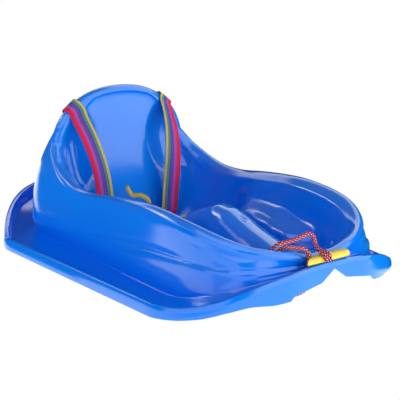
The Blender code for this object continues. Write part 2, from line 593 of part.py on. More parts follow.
def make_buckle():
    """Side-release buckle: a socket with two side windows, and an insert with three prongs."""
    bar_size = (WEB_THICK + 2 * CLEAR, 0.0200, WEB_WIDTH + 2 * CLEAR)
    socket_size = (BUCKLE_THICK, SOCKET_LONG, BUCKLE_HIGH)
    centre = (BELT_X, BUCKLE_JOINT_Y - SOCKET_LONG / 2, BELT_Z)
    socket = box("buckle_socket", socket_size, centre, np.eye(3), nylon_black, sled, 0.0022, 2)
    cut(socket, in_buckle("socket_cavity", (PRONG_THICK + 0.0020, 0.040, BUCKLE_HIGH - 0.008), 0.0020))
    cut(socket, in_buckle("socket_window", (PRONG_THICK, 0.0090, 0.06), -0.0105))
    cut(socket, in_buckle("socket_bar", bar_size, -SOCKET_LONG))
    insert_size = (BUCKLE_THICK, INSERT_LONG, BUCKLE_HIGH)
    centre = (BELT_X, BUCKLE_JOINT_Y + 0.0005 + INSERT_LONG / 2, BELT_Z)
    insert = box("buckle_insert", insert_size, centre, np.eye(3), nylon_black, sled, 0.0022, 2)
    applied(insert)
    for z in (-PRONG_Z, PRONG_Z, 0.0):
        join = insert.modifiers.new("join", "BOOLEAN")
        join.operation = "UNION"
        join.solver = "EXACT"
        join.object = in_buckle("prong", (PRONG_THICK, PRONG_LONG, PRONG_THICK), -0.0060, z)
    cut(insert, in_buckle("insert_bar", bar_size, INSERT_LONG + 0.0025))


def make_belt_tail():
    """Loose tail of the lap belt: it stands on the socket and curls in one upright plane."""
    upright = np.array([TAIL_WAY, (0.0, 0.0, 1.0)])
    tail = np.array(TAIL_FOOT) + np.array(TAIL_CURL) @ upright
    across = np.array((TAIL_WAY[1], -TAIL_WAY[0], 0.0))
    pts, wid, thick = resampled(tail, np.tile(across, (len(tail), 1)), 0.004, False)
    ribbon("belt_tail", pts, wid, web_red, sled, width=TAIL_WIDTH)


def flat_outline(line, wide, thick, sides=7):
    half = wide / 2 - thick / 2
    points = []
    for centre, start in ((half, -np.pi / 2), (-half, np.pi / 2)):
        for k in range(sides):
            angle = start + np.pi * k / (sides - 1)
            points.append((centre + thick / 2 * np.cos(angle), thick / 2 * np.sin(angle)))
    line.points.add(len(points) - 1)
    line.use_cyclic_u = True
    for slot, (a, b) in zip(line.points, points):
        slot.co = (a, b, 0.0, 1.0)


def make_handle():
    """A flattened tube lying on the lip, open at both ends, its near end cut at a slant."""
    outline = bpy.data.curves.new("handle_outline", "CURVE")
    outline.dimensions = "2D"
    outline.fill_mode = "BOTH"
    outline.extrude = HANDLE_LONG / 2
    flat_outline(outline.splines.new("POLY"), HANDLE_WIDE, HANDLE_THICK)
    flat_outline(outline.splines.new("POLY"), HANDLE_WIDE - 2 * HANDLE_WALL, HANDLE_THICK - 2 * HANDLE_WALL)
    lengthwise = Vector((0, 1, HANDLE_RISE)).normalized()
    forward = Vector((1, 0, 0))
    turned = Matrix((forward, lengthwise.cross(forward), -lengthwise)).transposed().to_4x4()
    made = bpy.data.objects.new("handle_outline", outline)
    made.matrix_world = Matrix.Translation(HANDLE_AT) @ turned
    sled.objects.link(made)
    handle = welded(made, "tow_handle", handle_yellow, sled)
    for corner in handle.data.vertices:
        if corner.co.y < HANDLE_AT[1]:
            inner = (HANDLE_AT[0] + HANDLE_WIDE / 2 - corner.co.x) / HANDLE_WIDE
            corner.co += lengthwise * HANDLE_SLANT * inner


def over_handle(angle, y, lift):
    """A point of the knot, going up the handle's outer side by angle and then in across its top."""
    half = HANDLE_WIDE / 2 - HANDLE_THICK / 2
    reach = HANDLE_THICK / 2 + lift
    rise = HANDLE_AT[2] + HANDLE_RISE * (y - HANDLE_AT[1])
    if angle <= 90:
        t = np.radians(angle)
        return (HANDLE_AT[0] + half + reach * np.cos(t), y, rise + reach * np.sin(t))
    return (HANDLE_AT[0] + half - (angle - 90) / 1000, y, rise + reach)


def make_handle_knot():
    """One strand laid over the handle and back, and joined across its top."""
    lay = ROPE / 2 + KNOT_LIFT
    near, far = KNOT_Y - KNOT_SPREAD, KNOT_Y + KNOT_SPREAD
    knot = [over_handle(a, near, lay) for a in (-8, 18, 44, 70, 92)]
    knot += [over_handle(94, KNOT_Y - 0.0026, lay + KNOT_LIFT), over_handle(95.5, KNOT_Y, lay + 2 * KNOT_LIFT),
             over_handle(94, KNOT_Y + 0.0026, lay + KNOT_LIFT)]
    knot += [over_handle(a, far, lay) for a in (92, 70, 44, 18, -8)]
    cord("handle_knot", thinned(curve_through(knot), 0.0022), rope_red, sled)


def make_stop_knot():
    """Knot under the deck, wound round the rope's own end."""
    start = np.array(HOLE_AT) - (0, 0, STOP_DROP)
    turns = np.linspace(0, 2 * np.pi * STOP_TURNS, 30)
    radius, pitch = ROPE + KNOT_LIFT, ROPE + STOP_GAP
    wound = np.stack([radius * np.cos(turns), radius * np.sin(turns), -turns / (2 * np.pi) * pitch], 1)
    apart = np.linalg.norm(wound[:, None] - wound[None], axis=2)
    far = abs(turns[:, None] - turns[None]) > np.pi
    print("stop knot's least gap to itself, mm", round(float(apart[far].min() - ROPE) * 1000, 2))
    cord("stop_knot", start + wound, rope_red, sled)


def make_rope():
    """One rope: its end under the bow, up through the hole, down a leg well and back to the knot."""
    hole_end = np.array(HOLE_AT) - (0, 0, 0.006)
    route = np.array([*ROPE_TAIL, tuple(hole_end), *ROPE_OUT, *ROPE_WELL, *ROPE_BACK])
    rope = curve_through(route, 14)
    length = run_length(rope)[-1]
    print("rope length, m", round(float(length), 4))
    rope = thinned(rope, length / 78)
    cord("tow_rope", rope, rope_red, sled)
    for p in thinned(rope, ROPE / 2):
        gap = skin.find_nearest(Vector(p))[3]
        if gap < ROPE / 2 + CLEAR:
            print("rope near the hull, mm", np.round(p * 1000, 1), round(gap * 1000, 2))


def make_openings(knives):
    """Joins the cutters of the slots and the rope's hole, and cuts them from the hull."""
    work = bmesh.new()
    for knife in knives:
        work.from_mesh(knife.data)
        bpy.data.objects.remove(knife, do_unlink=True)
    bmesh.ops.create_cone(work, cap_ends=True, segments=20, radius1=HOLE / 2, radius2=HOLE / 2, depth=0.016,
                          matrix=Matrix.Translation(HOLE_AT))
    mesh = bpy.data.meshes.new("hull_openings")
    work.to_mesh(mesh)
    work.free()
    openings = bpy.data.objects.new("hull_openings", mesh)
    cutters.objects.link(openings)
    cut(hull, openings)


def put_on_pivot():
    """The half of the buckle that pulls out, on its own pivot on the line of the belt."""
    release = bpy.data.objects.new("release_side", None)
    release.location = (BELT_X, BUCKLE_JOINT_Y, BELT_Z)
    sled.objects.link(release)
    for name in ("buckle_insert", "lap_belt_left", "belt_keeper_left"):
        bpy.data.objects[name].parent = release
        bpy.data.objects[name].matrix_parent_inverse = Matrix.Translation(release.location).inverted()


clear_scene()
sled = bpy.data.collections.new("baby_sled")
bpy.context.scene.collection.children.link(sled)
cutters = bpy.data.collections.new("cutters")
cutters.hide_render = True
bpy.context.scene.collection.children.link(cutters)

shell_blue = material("shell_blue", (0.02, 0.16, 0.75), 0.25)
web_red = material("web_red", (0.75, 0.06, 0.20), 0.8)
nylon_black = material("nylon_black", (0.03, 0.03, 0.035), 0.45)
rope_red = material("rope_red", (0.70, 0.05, 0.12), 0.8)
handle_yellow = material("handle_yellow", (0.95, 0.75, 0.05), 0.35)

rows = hull_rows()
skin = skin_of(rows)
hull = make_hull(rows)
knives = []
for side, word in ((1, "left"), (-1, "right")):
    knives += make_strap(side, word)
    knives += make_lap_belt(side, word)
make_openings(knives)
make_buckle()
make_belt_tail()
make_handle()
make_handle_knot()
make_stop_knot()
make_rope()
put_on_pivot()
for knife in cutters.objects:
    knife.display_type = "WIRE"

# X = 0 is the middle of the hull's length.
for obj in list(sled.objects) + list(cutters.objects):
    if obj.parent is None:
        obj.location.x -= ORIGIN_X
bpy.context.view_layer.update()
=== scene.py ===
import bmesh
import bpy
import numpy as np
from mathutils import Matrix, Vector
from mathutils.bvhtree import BVHTree


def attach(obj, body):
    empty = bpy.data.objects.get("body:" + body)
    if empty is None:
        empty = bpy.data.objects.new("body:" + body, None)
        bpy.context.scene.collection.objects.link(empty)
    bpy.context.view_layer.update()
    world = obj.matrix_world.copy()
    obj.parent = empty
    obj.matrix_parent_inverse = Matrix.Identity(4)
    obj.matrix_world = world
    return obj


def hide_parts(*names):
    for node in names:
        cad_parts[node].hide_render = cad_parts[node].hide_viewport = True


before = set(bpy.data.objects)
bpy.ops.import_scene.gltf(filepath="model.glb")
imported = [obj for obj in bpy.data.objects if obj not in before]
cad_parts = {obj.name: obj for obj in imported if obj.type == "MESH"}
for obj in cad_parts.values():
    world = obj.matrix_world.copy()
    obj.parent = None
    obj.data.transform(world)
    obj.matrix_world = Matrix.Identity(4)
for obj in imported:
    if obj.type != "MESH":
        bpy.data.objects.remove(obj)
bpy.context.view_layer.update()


def mm(*points):
    """A table of points that is written in millimetres, in metres as all else is."""
    return np.array(points) / 1000


# Shared sizes. The shapes below are worked out with X = 0 at the tub's own origin.
ORIGIN_X = 0.00625
WALL, CLEAR = 0.003, 0.0003

# The hull's skin has rows from the skirt's edge to the middle of the floor. Each row has its stations from
# nose to tail on the +Y side, FINE of them for each of the solid's, and lies about ROW_STEP from the next.
FINE = 4
FRONT, SIDE, REAR = 16 * FINE, 9 * FINE, 17 * FINE
STATIONS = FRONT + SIDE + REAR + 1
FRONT_WARP = 1.35
ROW_STEP = 0.0055

# Rings of the hull: both ends, where the straight side begins and ends, the half width, the powers of the
# rounded ends, and the heights at the nose, the bow, the stern and the tail.
BOW_X, STERN_X, LIP_REAR = 0.243, -0.172, -0.362
LOW_Z, NOSE_Z = 0.0165, 0.06
NOSE_POWERS, WALL_TAIL_POWERS = (1.5, 3.0), (2.9, 2.9)
LIP_RING = dict(
    front=0.371, bow=BOW_X, stern=STERN_X, rear=LIP_REAR, half=0.211,
    nose=NOSE_POWERS, tail=(1.0, 2.1), heights=(0.072, 0.0225, 0.0225, 0.067))
GUTTER_RING = dict(
    front=0.3625, bow=0.237, stern=-0.16, rear=-0.346, half=0.1985,
    nose=NOSE_POWERS, tail=(1.2, 2.3), heights=(NOSE_Z, LOW_Z, LOW_Z, 0.04), lift=1.1)
FOOT_RING = dict(
    front=0.3535, bow=0.215, stern=-0.15, rear=-0.262, half=0.16, half_rear=0.143, nose=(2.5, 3.2),
    tail=WALL_TAIL_POWERS, heights=(NOSE_Z, LOW_Z, LOW_Z, 0.021), rise=1.6, lift=1.2)
STEP_RING = dict(
    front=0.3525, bow=0.215, stern=-0.14, rear=-0.257, half=0.157, half_rear=0.151, nose=(2.6, 3.0),
    tail=WALL_TAIL_POWERS, heights=(0.0655, 0.066, 0.043, 0.038), rise=1.0)
FLOOR_RING = dict(
    front=0.305, bow=0.205, stern=-0.03, rear=-0.112, half=0.098,
    nose=(2.3, 2.6), tail=(2.4, 2.8), heights=(0, 0, 0, 0))

# The flange: its lip, which bulges beside the notch in the bow, and the skirt below it. SKIRT_BOW is the
# skirt's edge round the bow, as (Y, Z). It has a step, and the skirt tucks in under the stern.
LIP_CHEEK, LIP_ROWS = 0.004, ((-0.0008, 0.0012), (0.0022, 0.0), (0.006, 0.0012))
BROW_FOOT, BROW_LIP, BROW_OUT = 0.45, 0.55, 0.0026
SKIRT_FLARE, SKIRT_TUCK, SKIRT_STEP = 0.003, 0.004, 0.006
SKIRT_SIDE_Z, SKIRT_TAIL_Z, SKIRT_TAIL_POWER = 0.004, 0.047, 0.95
SKIRT_BOW_X = BOW_X - 0.01
SKIRT_BOW = mm(
    (0, 62), (23, 46), (62, 40), (110, 33), (140, 27), (160, 21), (180, 13), (200, 7), (214, 4),
)

# The crest: the rail from the nose to the backrest, then the backrest's arch.
RAIL = mm(
    (346, 0, 79.5), (346, 25, 81.5), (343.5, 50, 87), (335, 76, 91.5), (318, 102, 97.5), (296, 122, 106.5),
    (266, 137, 116.5), (230, 144, 124), (190, 146.5, 129), (150, 147.5, 131), (105, 149, 129),
    (55, 149, 125), (10, 148.5, 120), (-35, 147.5, 120.5), (-70, 147.5, 127.5), (-100, 146.5, 138.5),
    (-127, 141.5, 153), (-143, 134.5, 169),
)
CREST_JOINS = (0.19, -0.035)
ARCH_X, ARCH_HALF, ARCH_BASE_Z, ARCH_TOP_Z = -0.148, 0.133, 0.15, 0.2605
ARCH_POWER, ARCH_START, ARCH_GAP = 2.2, 0.16, 0.006

# The wall: its fillet and shelf at the foot, the ledge over its step, which fades toward the stern, and its
# curve up to the shoulder through a knee. A knee's shares are (share, more at the stern, more at the side).
FILLET, SHELF_RISE = 0.0022, 0.42
LEDGE_LEAST, LEDGE_IN, LEDGE_UP, LEDGE_FADED_UP = 0.12, 0.0036, 0.0022, 0.002
WALL_SHARES = (0.28, 0.56, 0.82)
KNEE_OUT, KNEE_UP = (0.26, -0.22, 0.24), (0.66, 0.18, -0.16)
SMOOTH, VERY_SMOOTH = 4.0, 6.0

# Rows beside the crest. Outside they are (out, more at the hips, down, more at the hips), inside they are
# (in, more where the rail is broad, more on the wings, down, more where broad, more on the wings).
SHOULDER = (0.0086, 0.004, 0.011, 0.01)
ROLL, RIM = (0.0076, 0.0042, 0.0062, 0.006), (0.0044, 0.0024, 0.002, 0.0022)
INNER_ROWS = ((0.0065, 0.0025, 0.003, 0.0022, 0.0013, 0.003), (0.0105, 0.008, 0.005, 0.0095, 0.0025, 0.011))

# The ridge between the leg wells, as (X, height), and the floor's rise toward the nose.
RIDGE = mm(
    (-30, 0), (0, 26), (29, 57), (87, 87), (131, 103), (157, 100), (206, 82), (272, 63.5), (310, 62),
)
RIDGE_HALF, RIDGE_LEAST, RIDGE_FOOT, RIDGE_FOOT_POWER, RIDGE_TOP_POWER = 0.039, 0.6, 1.14, 2.9, 0.85
NOSE_RISE, NOSE_RISE_POWER = 0.034, 1.4

# The tub's inside: a crease and a roll between the crest and the floor. Their height and place in plan are
# mixed of (the crest's, the floor's). Beside the thighs they run at CREASE_Y and ROLL_YZ.
FLOOR_LIFT, THIGH_IN = 0.007, 0.018
CREASE_HIGH, CREASE_WIDE, ROLL_HIGH, ROLL_WIDE = (0.66, 0.34), (0.8, 0.2), (0.3, 0.7), (0.45, 0.55)
CREASE_Y, ROLL_YZ = 0.117, (0.084, 0.053)
CREASE_LINE = mm((100, 86), (135, 84), (165, 75), (195, 64), (230, 54))
CREASE_AT, ROLL_AT = 0.33, 0.7
BRIM_BACK, BRIM_DOWN = (-0.003, 0.0, -0.002), 0.06
TUB_SHARES = (0.16, 0.33, 0.5, 0.66, 0.82, 0.93)
BACK_HOLLOW, BACK_LEAN = 0.004, 0.003
FLOOR_SHARES = (0.12, 0.36, 0.58, 0.76, 0.9, 1.0)
SPINE = ((0, 0.301), (0.38, 0.165), (0.6, 0.02), (1, -0.108))

# Forms moulded into the tub: the backrest's pockets with their two folds, the thumb dimple on the ridge,
# and the slanting lens-shaped swelling on each thigh roll.
SCOOP_DEEP, SCOOP_POWER, SCOOP_FOLD_DEEP, DIMPLE_DEEP = 0.018, 0.85, 0.0013, 0.0022
LENS_SLANT, LENS_SLANT_Y, LENS_IN, LENS_UP = 0.9, 0.094, 0.0022, 0.003
INSIDE_ROWS = 0.55

# Harness: the slots, the webbing and its folded ends, the hanging part of a shoulder strap, and the tail.
WEB_WIDTH, WEB_THICK = 0.028, 0.0016
FOLD_LONG, FOLD_THICK = 0.006, 0.0042
SLOT_LONG, SLOT_WIDE, SLOT_DEEP, SLOT_DROP = WEB_WIDTH + 0.004, 0.0055, 0.022, 0.05
LOW_SLOT, LOW_SLOT_DEEP = (-0.1025, 0.062, 0.0306), 0.034
STRAP_Y = 0.095
STRAP_TWIST = {1: 24.0, -1: -14.0}
STRAP_HANG = mm(
    (-125, 88.5, 211), (-108, 83.5, 184), (-95, 77, 150), (-89.5, 71.5, 118), (-88.5, 67.5, 88),
    (-88, 64.5, 60), (-88.5, 63, 42), (-93.5, 62, 33.5),
)
BELT_X, BELT_Z, BELT_END, BELT_FOLD = -0.055, 0.0255, 0.1269, 0.0038
BELT_SLOT_Y, BELT_SLOT_DEEP = 0.104, 0.026
BUCKLE_HIGH = WEB_WIDTH + 0.011
BELT_START = {1: 0.0185, -1: 0.0215}
TAIL_FOOT, TAIL_WAY = (-0.0555, -0.012, BELT_Z + BUCKLE_HIGH / 2 + 0.0004), (0.614, 0.789, 0.0)
TAIL_CURL = mm(
    (0, 0), (0.4, 4), (2.6, 11), (6.2, 18), (8.5, 26), (6.5, 33.5), (0, 38.5), (-6.5, 41.2), (-12.5, 41.2),
    (-18, 40.5), (-23.5, 45.5), (-28.8, 56),
)

# A shoulder strap's tied part: how far it lies below the crest on the backrest's back, how deep its end
# goes in at the slot, and its points over the rim, as (X, height over the crest).
BACK_DROPS = (0.0455, 0.04, 0.0345, 0.029, 0.024, 0.0195, 0.015)
END_DEPTHS = (0.0185, 0.0125, 0.006, 0.001)
BEND_OUT, BEND_UP = 0.0024, 0.0012
OVER_RIM = mm(
    (-10.8, -8.8), (-6.8, -1), (-1.5, 2.2), (4, 1.8), (9.2, -1), (13.6, -8.5),
)
LOW_STEPS, LOW_LIFT = (0.0015, -0.0055, -0.0135, -0.027), 0.0004
TWIST_POINTS, TWIST_SHARES = (1, 4, 7, 8.5), (0, 1, 0.8, 0)
OUTSIDE = 0.2

# Rope and handle. The rope comes up through a hole in the bow, over the rail, down into the well and back,
# and lies beside the handle.
ROPE = 0.006
HOLE, HOLE_DEEP, HOLE_AT = 0.008, 0.016, (0.3582, -0.0345, 0.059)
ROPE_ROUTE = mm(
    (351.5, -76, 31), (354, -65, 31), (356.6, -53, 32), (357.8, -42, 34.5), (358.2, -36, 39.5),
    (358.2, -34.5, 45), (358.2, -34.5, 53), (358.2, -34.5, 68), (358, -33, 78), (356.5, -33.5, 86),
    (352, -40, 91.5), (345.5, -49, 93), (337.5, -57, 93.4), (327.2, -60, 87), (315.5, -60.5, 73),
    (301.5, -60.5, 54), (276, -60, 32.5), (245, -59, 14), (200, -56.5, 8.8), (140, -57, 8.6),
    (70, -58.6, 8.6), (20, -59.2, 8.8), (-5, -62.5, 8.6), (-17, -71.5, 8.2), (-10, -81, 8.5), (20, -76, 8.5),
    (70, -68, 9.5), (140, -68, 9.5), (200, -71, 10.5), (240, -76, 17), (268, -79, 33), (295, -76, 54),
    (313, -73, 74), (324, -70, 89), (334, -65.5, 98.5), (339.5, -55.5, 101), (342, -45, 102.5),
    (343.5, -35, 105), (344.2, -27, 107.5), (345, -19.5, 107), (345.8, -14.3, 103), (346.8, -12.5, 97.2),
    (349.3, -13, 92), (353.8, -14.2, 89.1), (358.8, -15, 87.5),
)
HANDLE_LONG, HANDLE_WIDE, HANDLE_THICK, HANDLE_WALL = 0.079, 0.015, 0.0095, 0.0016
HANDLE_AT, HANDLE_RISE, HANDLE_SLANT = (0.365, -0.0098, 0.0774), 0.012, 0.022
HANDLE_SIDES, LIP_POINTS = 40, 7
KNOT_Y, KNOT_SPREAD, KNOT_LIFT, KNOT_CROSS = -0.015, 0.0034, 0.0004, 0.0026
KNOT_ANGLES, KNOT_OVER, KNOT_TOP = (-8, 18, 44, 70, 92), 94, 95.5
STOP_TURNS, STOP_GAP, STOP_DROP = 1.2, 0.0006, 0.0052

# Points closer than this are one.
WELD = 0.00005

# Camera solved from the photograph.
VIEW_AZIMUTH, VIEW_ELEVATION = 52.1, 13.3
VIEW_FROM = (1.2824 - ORIGIN_X, -0.9366, 0.462)
FOCAL_PIXELS, IMAGE_PIXELS, SENSOR = 1005, 400, 36.0


def ease(t):
    t = np.clip(t, 0.0, 1.0)
    return t * t * (3.0 - 2.0 * t)


def rise(x, start, over):
    return ease((x - start) / over)


def fall(x, end, over):
    return ease((end - x) / over)


def hump(x, at, wide):
    return np.exp(-((x - at) / wide) ** 2)


def oval(x, y, at, half, power):
    """1 at the middle of an ellipse, down to 0 at its edge."""
    return np.clip(1 - ((x - at[0]) / half[0]) ** 2 - ((y - at[1]) / half[1]) ** 2, 0, 1) ** power


def unit(vectors):
    return vectors / np.linalg.norm(vectors, axis=1)[:, None]


def distances(points):
    """How far along their path the points lie."""
    return np.r_[0, np.cumsum(np.linalg.norm(np.diff(points, axis=0), axis=1))]


def read_at(want, places, points):
    """The points' path, read at other places along it."""
    return np.stack([np.interp(want, places, points[:, i]) for i in range(3)], 1)


def evenly(points, count, warp=1.0):
    along = distances(points)
    return read_at(along[-1] * np.linspace(0, 1, count + 1) ** warp, along, points)


def curve_through(points, steps=12):
    """A smooth curve through the points, with so many steps from each to the next."""
    points = np.asarray(points, float)
    ends = np.vstack([2 * points[0] - points[1], points, 2 * points[-1] - points[-2]])
    out = []
    for a, b, c, d in zip(ends[:-3], ends[1:-2], ends[2:-1], ends[3:]):
        for t in np.linspace(0, 1, steps, endpoint=False):
            out.append(0.5 * (2 * b + (c - a) * t + (2 * a - 5 * b + 4 * c - d) * t ** 2
                              + (3 * b - a - 3 * c + d) * t ** 3))
    out.append(points[-1])
    return np.array(out)


def three_parts(front, side, rear):
    """One row's stations, spread over its front, side and rear."""
    return np.vstack([evenly(front, FRONT, FRONT_WARP), evenly(side, SIDE)[1:], evenly(rear, REAR)[1:]])


def ring(front, bow, stern, rear, half, nose, tail, heights, rise=3.0, lift=0.85, half_rear=None):
    z_nose, z_bow, z_stern, z_tail = heights
    half_rear = half if half_rear is None else half_rear
    t = np.linspace(0, np.pi / 2, num=900)
    u = np.cos(t) ** (2 / nose[0])
    fore = np.stack([bow + (front - bow) * u, half * np.sin(t) ** (2 / nose[1]),
                     z_bow + (z_nose - z_bow) * u ** rise], 1)
    w = np.linspace(0, 1, num=120)
    side = np.stack([bow + (stern - bow) * w, half + (half_rear - half) * ease(w),
                     z_bow + (z_stern - z_bow) * ease(w)], 1)
    u = np.sin(t) ** (2 / tail[0])
    aft = np.stack([stern + (rear - stern) * u, half_rear * np.cos(t) ** (2 / tail[1]),
                    z_stern + (z_tail - z_stern) * u ** lift], 1)
    return three_parts(fore, side, aft)


def inset(row, distance, drop=0.0):
    """The row moved toward the hull's middle in plan, and down."""
    tangent = np.gradient(row[:, :2], axis=0)
    inward = unit(np.stack([-tangent[:, 1], tangent[:, 0]], 1))
    inward[0] = (-1, 0)
    inward[-1] = (1, 0)
    out = row.copy()
    out[:, :2] += inward * distance
    out[:, 2] -= drop
    return out


def skirt_foot(lip):
    row = inset(lip, -SKIRT_FLARE)
    tail = inset(lip, SKIRT_TUCK)
    row = row + (tail - row) * fall(lip[:, :1], end=STERN_X + 0.02, over=0.06)
    x, y = row[:, 0], row[:, 1]
    step = SKIRT_STEP * rise(y, start=0.072, over=0.006) * fall(y, end=0.135, over=0.04)
    bow = np.interp(y, *zip(*SKIRT_BOW)) - step
    share = np.clip((x - STERN_X) / (LIP_REAR - STERN_X), 0, 1)
    stern = SKIRT_SIDE_Z + (SKIRT_TAIL_Z - SKIRT_SIDE_Z) * share ** SKIRT_TAIL_POWER
    row[:, 2] = np.where(x > 0, np.where(x > SKIRT_BOW_X, bow, SKIRT_SIDE_Z), stern)
    return row


def crest():
    rail = curve_through(RAIL)
    t = np.linspace(ARCH_START, np.pi / 2, num=240)
    arch = np.stack([0 * t + ARCH_X, ARCH_HALF * np.cos(t) ** (2 / ARCH_POWER),
                     ARCH_BASE_Z + (ARCH_TOP_Z - ARCH_BASE_Z) * np.sin(t) ** (2 / ARCH_POWER)], 1)
    arch[-1, 1] = 0.0
    path = np.vstack([rail, arch[arch[:, 2] > rail[-1, 2] + ARCH_GAP]])
    bow, dip = (int(np.argmin(abs(path[:, 0] - x))) for x in CREST_JOINS)
    return three_parts(path[:bow + 1], path[bow:dip + 1], path[dip:])


def softened(row, reach=SMOOTH):
    """The row with its small waves along the stations smoothed out; it mirrors at both ends."""
    span = int(3 * reach)
    weights = np.exp(-0.5 * (np.arange(-span, span + 1) / reach) ** 2)
    weights /= weights.sum()
    mirror = np.array((1, -1, 1))
    long = np.vstack([row[1:span + 1][::-1] * mirror, row, row[-span - 1:-1][::-1] * mirror])
    return np.stack([np.convolve(long[:, i], weights, "valid") for i in range(3)], 1)


def past_side(lead=1.0, reach=7.0):
    """How far each station has passed from the tub's side to its back, from 0 to 1."""
    station = (np.arange(STATIONS) - FRONT - SIDE) / FINE
    return ease((station + lead) / reach)


def crest_frames(row):
    """The ways out and up at each of the crest's stations."""
    tangent = np.gradient(row, axis=0)
    tangent[0] = (0, 1, 0)
    tangent[-1] = (0, -1, 0)
    tangent = unit(tangent)
    first = FRONT + SIDE
    turn = np.pi / 2 * (1 + past_side(lead=0.0, reach=8.0))
    out = np.stack([np.cos(turn), np.sin(turn), 0 * turn], 1)
    out[:first] = unit(np.stack([tangent[:, 1], -tangent[:, 0], 0 * turn], 1)[:first])
    return out, unit(np.cross(out, tangent))


def floor_height(x, y):
    ridge = np.interp(x, *zip(*RIDGE))
    half = RIDGE_HALF * (RIDGE_LEAST + (1 - RIDGE_LEAST) * rise(x, start=-0.03, over=0.08))
    share = (1 - np.clip(np.abs(y) / (RIDGE_FOOT * half), 0, 1) ** RIDGE_FOOT_POWER) ** RIDGE_TOP_POWER
    nose = NOSE_RISE * rise(x, start=0.235, over=0.075) ** NOSE_RISE_POWER
    flat = WALL + nose * (1 - share)
    return flat + ridge * share


def scoop(y, z):
    y = np.abs(y)
    inside = oval(y, z, at=(0.094, 0.168), half=(0.043, 0.065), power=1.0)
    folds = hump(y, at=0.0885, wide=0.003) + 0.8 * hump(y, at=0.103, wide=0.0026)
    return SCOOP_DEEP * inside ** SCOOP_POWER + SCOOP_FOLD_DEEP * folds * ease(inside * 3)


def flange_rows():
    lip = ring(**LIP_RING)
    lip[:, 0] += LIP_CHEEK * hump(lip[:, 1], at=0.072, wide=0.028) * (lip[:, 0] > 0)
    foot = skirt_foot(lip)
    brow = BROW_FOOT * foot + BROW_LIP * inset(lip, -BROW_OUT)
    return [foot, brow, *(inset(lip, *by) for by in LIP_ROWS), ring(**GUTTER_RING)]


def wall_rows():
    foot, step = ring(**FOOT_RING), ring(**STEP_RING)
    top = crest()
    out, up = (softened(way, VERY_SMOOTH) for way in crest_frames(top))
    top_x, top_y = top[:, :1], top[:, 1:2]
    hips = rise(top_x, start=0.06, over=0.1) * fall(top_x, end=0.345, over=0.06)
    stern = past_side()[:, None]
    side = fall(top_x, end=0.32, over=0.16) * (1 - stern)

    shelf = 0.5 * (foot + step)
    shelf[:, 2] = foot[:, 2] + SHELF_RISE * (step[:, 2] - foot[:, 2])
    ledge = LEDGE_LEAST + (1 - LEDGE_LEAST) * rise(step[:, :1], start=0.05, over=0.11)
    low = step + (inset(step, LEDGE_IN) - step) * ledge
    low[:, 2] = step[:, 2] + LEDGE_UP + LEDGE_FADED_UP * (1 - ledge[:, 0])

    def outside(form):
        away, hip_away, down, hip_down = form
        return top + out * (away + hip_away * hips) - up * (down + hip_down * hips)

    shoulder = softened(outside(SHOULDER), VERY_SMOOTH)
    rows = [foot, foot + (0, 0, FILLET), shelf, step, low]
    knee_out, knee_up = (a + b * stern + c * side for a, b, c in (KNEE_OUT, KNEE_UP))
    for v in WALL_SHARES:
        knee = low + (shoulder - low) * knee_out
        knee[:, 2:] = low[:, 2:] + knee_up * (shoulder - low)[:, 2:]
        rows.append((1 - v) ** 2 * low + 2 * v * (1 - v) * knee + v * v * shoulder)
    rows += [shoulder, softened(outside(ROLL)), outside(RIM), top.copy()]

    broad = fall(top_x, end=0.335, over=0.04) * rise(top_x, start=-0.13, over=0.08)
    wing = rise(top_y, start=0.055, over=0.05) * stern
    for away, broad_away, wing_away, down, broad_down, wing_down in INNER_ROWS:
        rows.append(top - out * (away + broad_away * broad + wing_away * wing)
                    - up * (down + broad_down * broad + wing_down * wing))
    return rows


def tub_rows(upper):
    base = ring(**FLOOR_RING)
    base[:, 2] = floor_height(base[:, 0], base[:, 1]) + FLOOR_LIFT
    thigh = rise(base[:, :1], start=0.02, over=0.05) * fall(base[:, :1], end=0.235, over=0.05)

    def partway(high, wide):
        row = wide[0] * upper + wide[1] * base
        row[:, 2] = high[0] * upper[:, 2] + high[1] * base[:, 2]
        return row, row.copy()

    crease, crease_side = partway(CREASE_HIGH, CREASE_WIDE)
    crease_side[:, 1] = CREASE_Y
    crease_side[:, 2] = np.interp(crease[:, 0], *zip(*CREASE_LINE))
    crease = crease + thigh * (crease_side - crease)
    roll, roll_side = partway(ROLL_HIGH, ROLL_WIDE)
    roll_side[:, 1:] = ROLL_YZ
    roll = roll + thigh * (roll_side - roll)
    base[:, 1] -= THIGH_IN * thigh[:, 0]
    back = past_side()[:, None]
    plain = [upper + (base - upper) * s for s in (CREASE_AT, ROLL_AT)]
    crease = crease + back * (plain[0] - crease)
    roll = roll + back * (plain[1] - roll)
    brim = upper + back * BRIM_BACK * (1 - rise(upper[:, 1:2], start=0.055, over=0.04))
    brim += (1 - back) * (crease - upper) * BRIM_DOWN
    rows = [brim]
    for v in TUB_SHARES:
        if v < CREASE_AT:
            row = upper + (crease - upper) * (v / CREASE_AT)
        elif v < ROLL_AT:
            row = crease + (roll - crease) * ((v - CREASE_AT) / (ROLL_AT - CREASE_AT))
        else:
            row = roll + (base - roll) * ((v - ROLL_AT) / (1 - ROLL_AT))
        row[:, :1] -= back * (BACK_HOLLOW * np.sin(np.pi * v) + BACK_LEAN * (1 - v))
        rows.append(row)
    rows.append(base)
    spine_x = np.interp(np.linspace(0, 1, STATIONS), *zip(*SPINE))
    for share in FLOOR_SHARES:
        row = base.copy()
        row[:, 0] = base[:, 0] + (spine_x - base[:, 0]) * share
        row[:, 1] = base[:, 1] * (1 - share)
        row[:, 2] = floor_height(row[:, 0], row[:, 1])
        rows.append(row)
    return rows


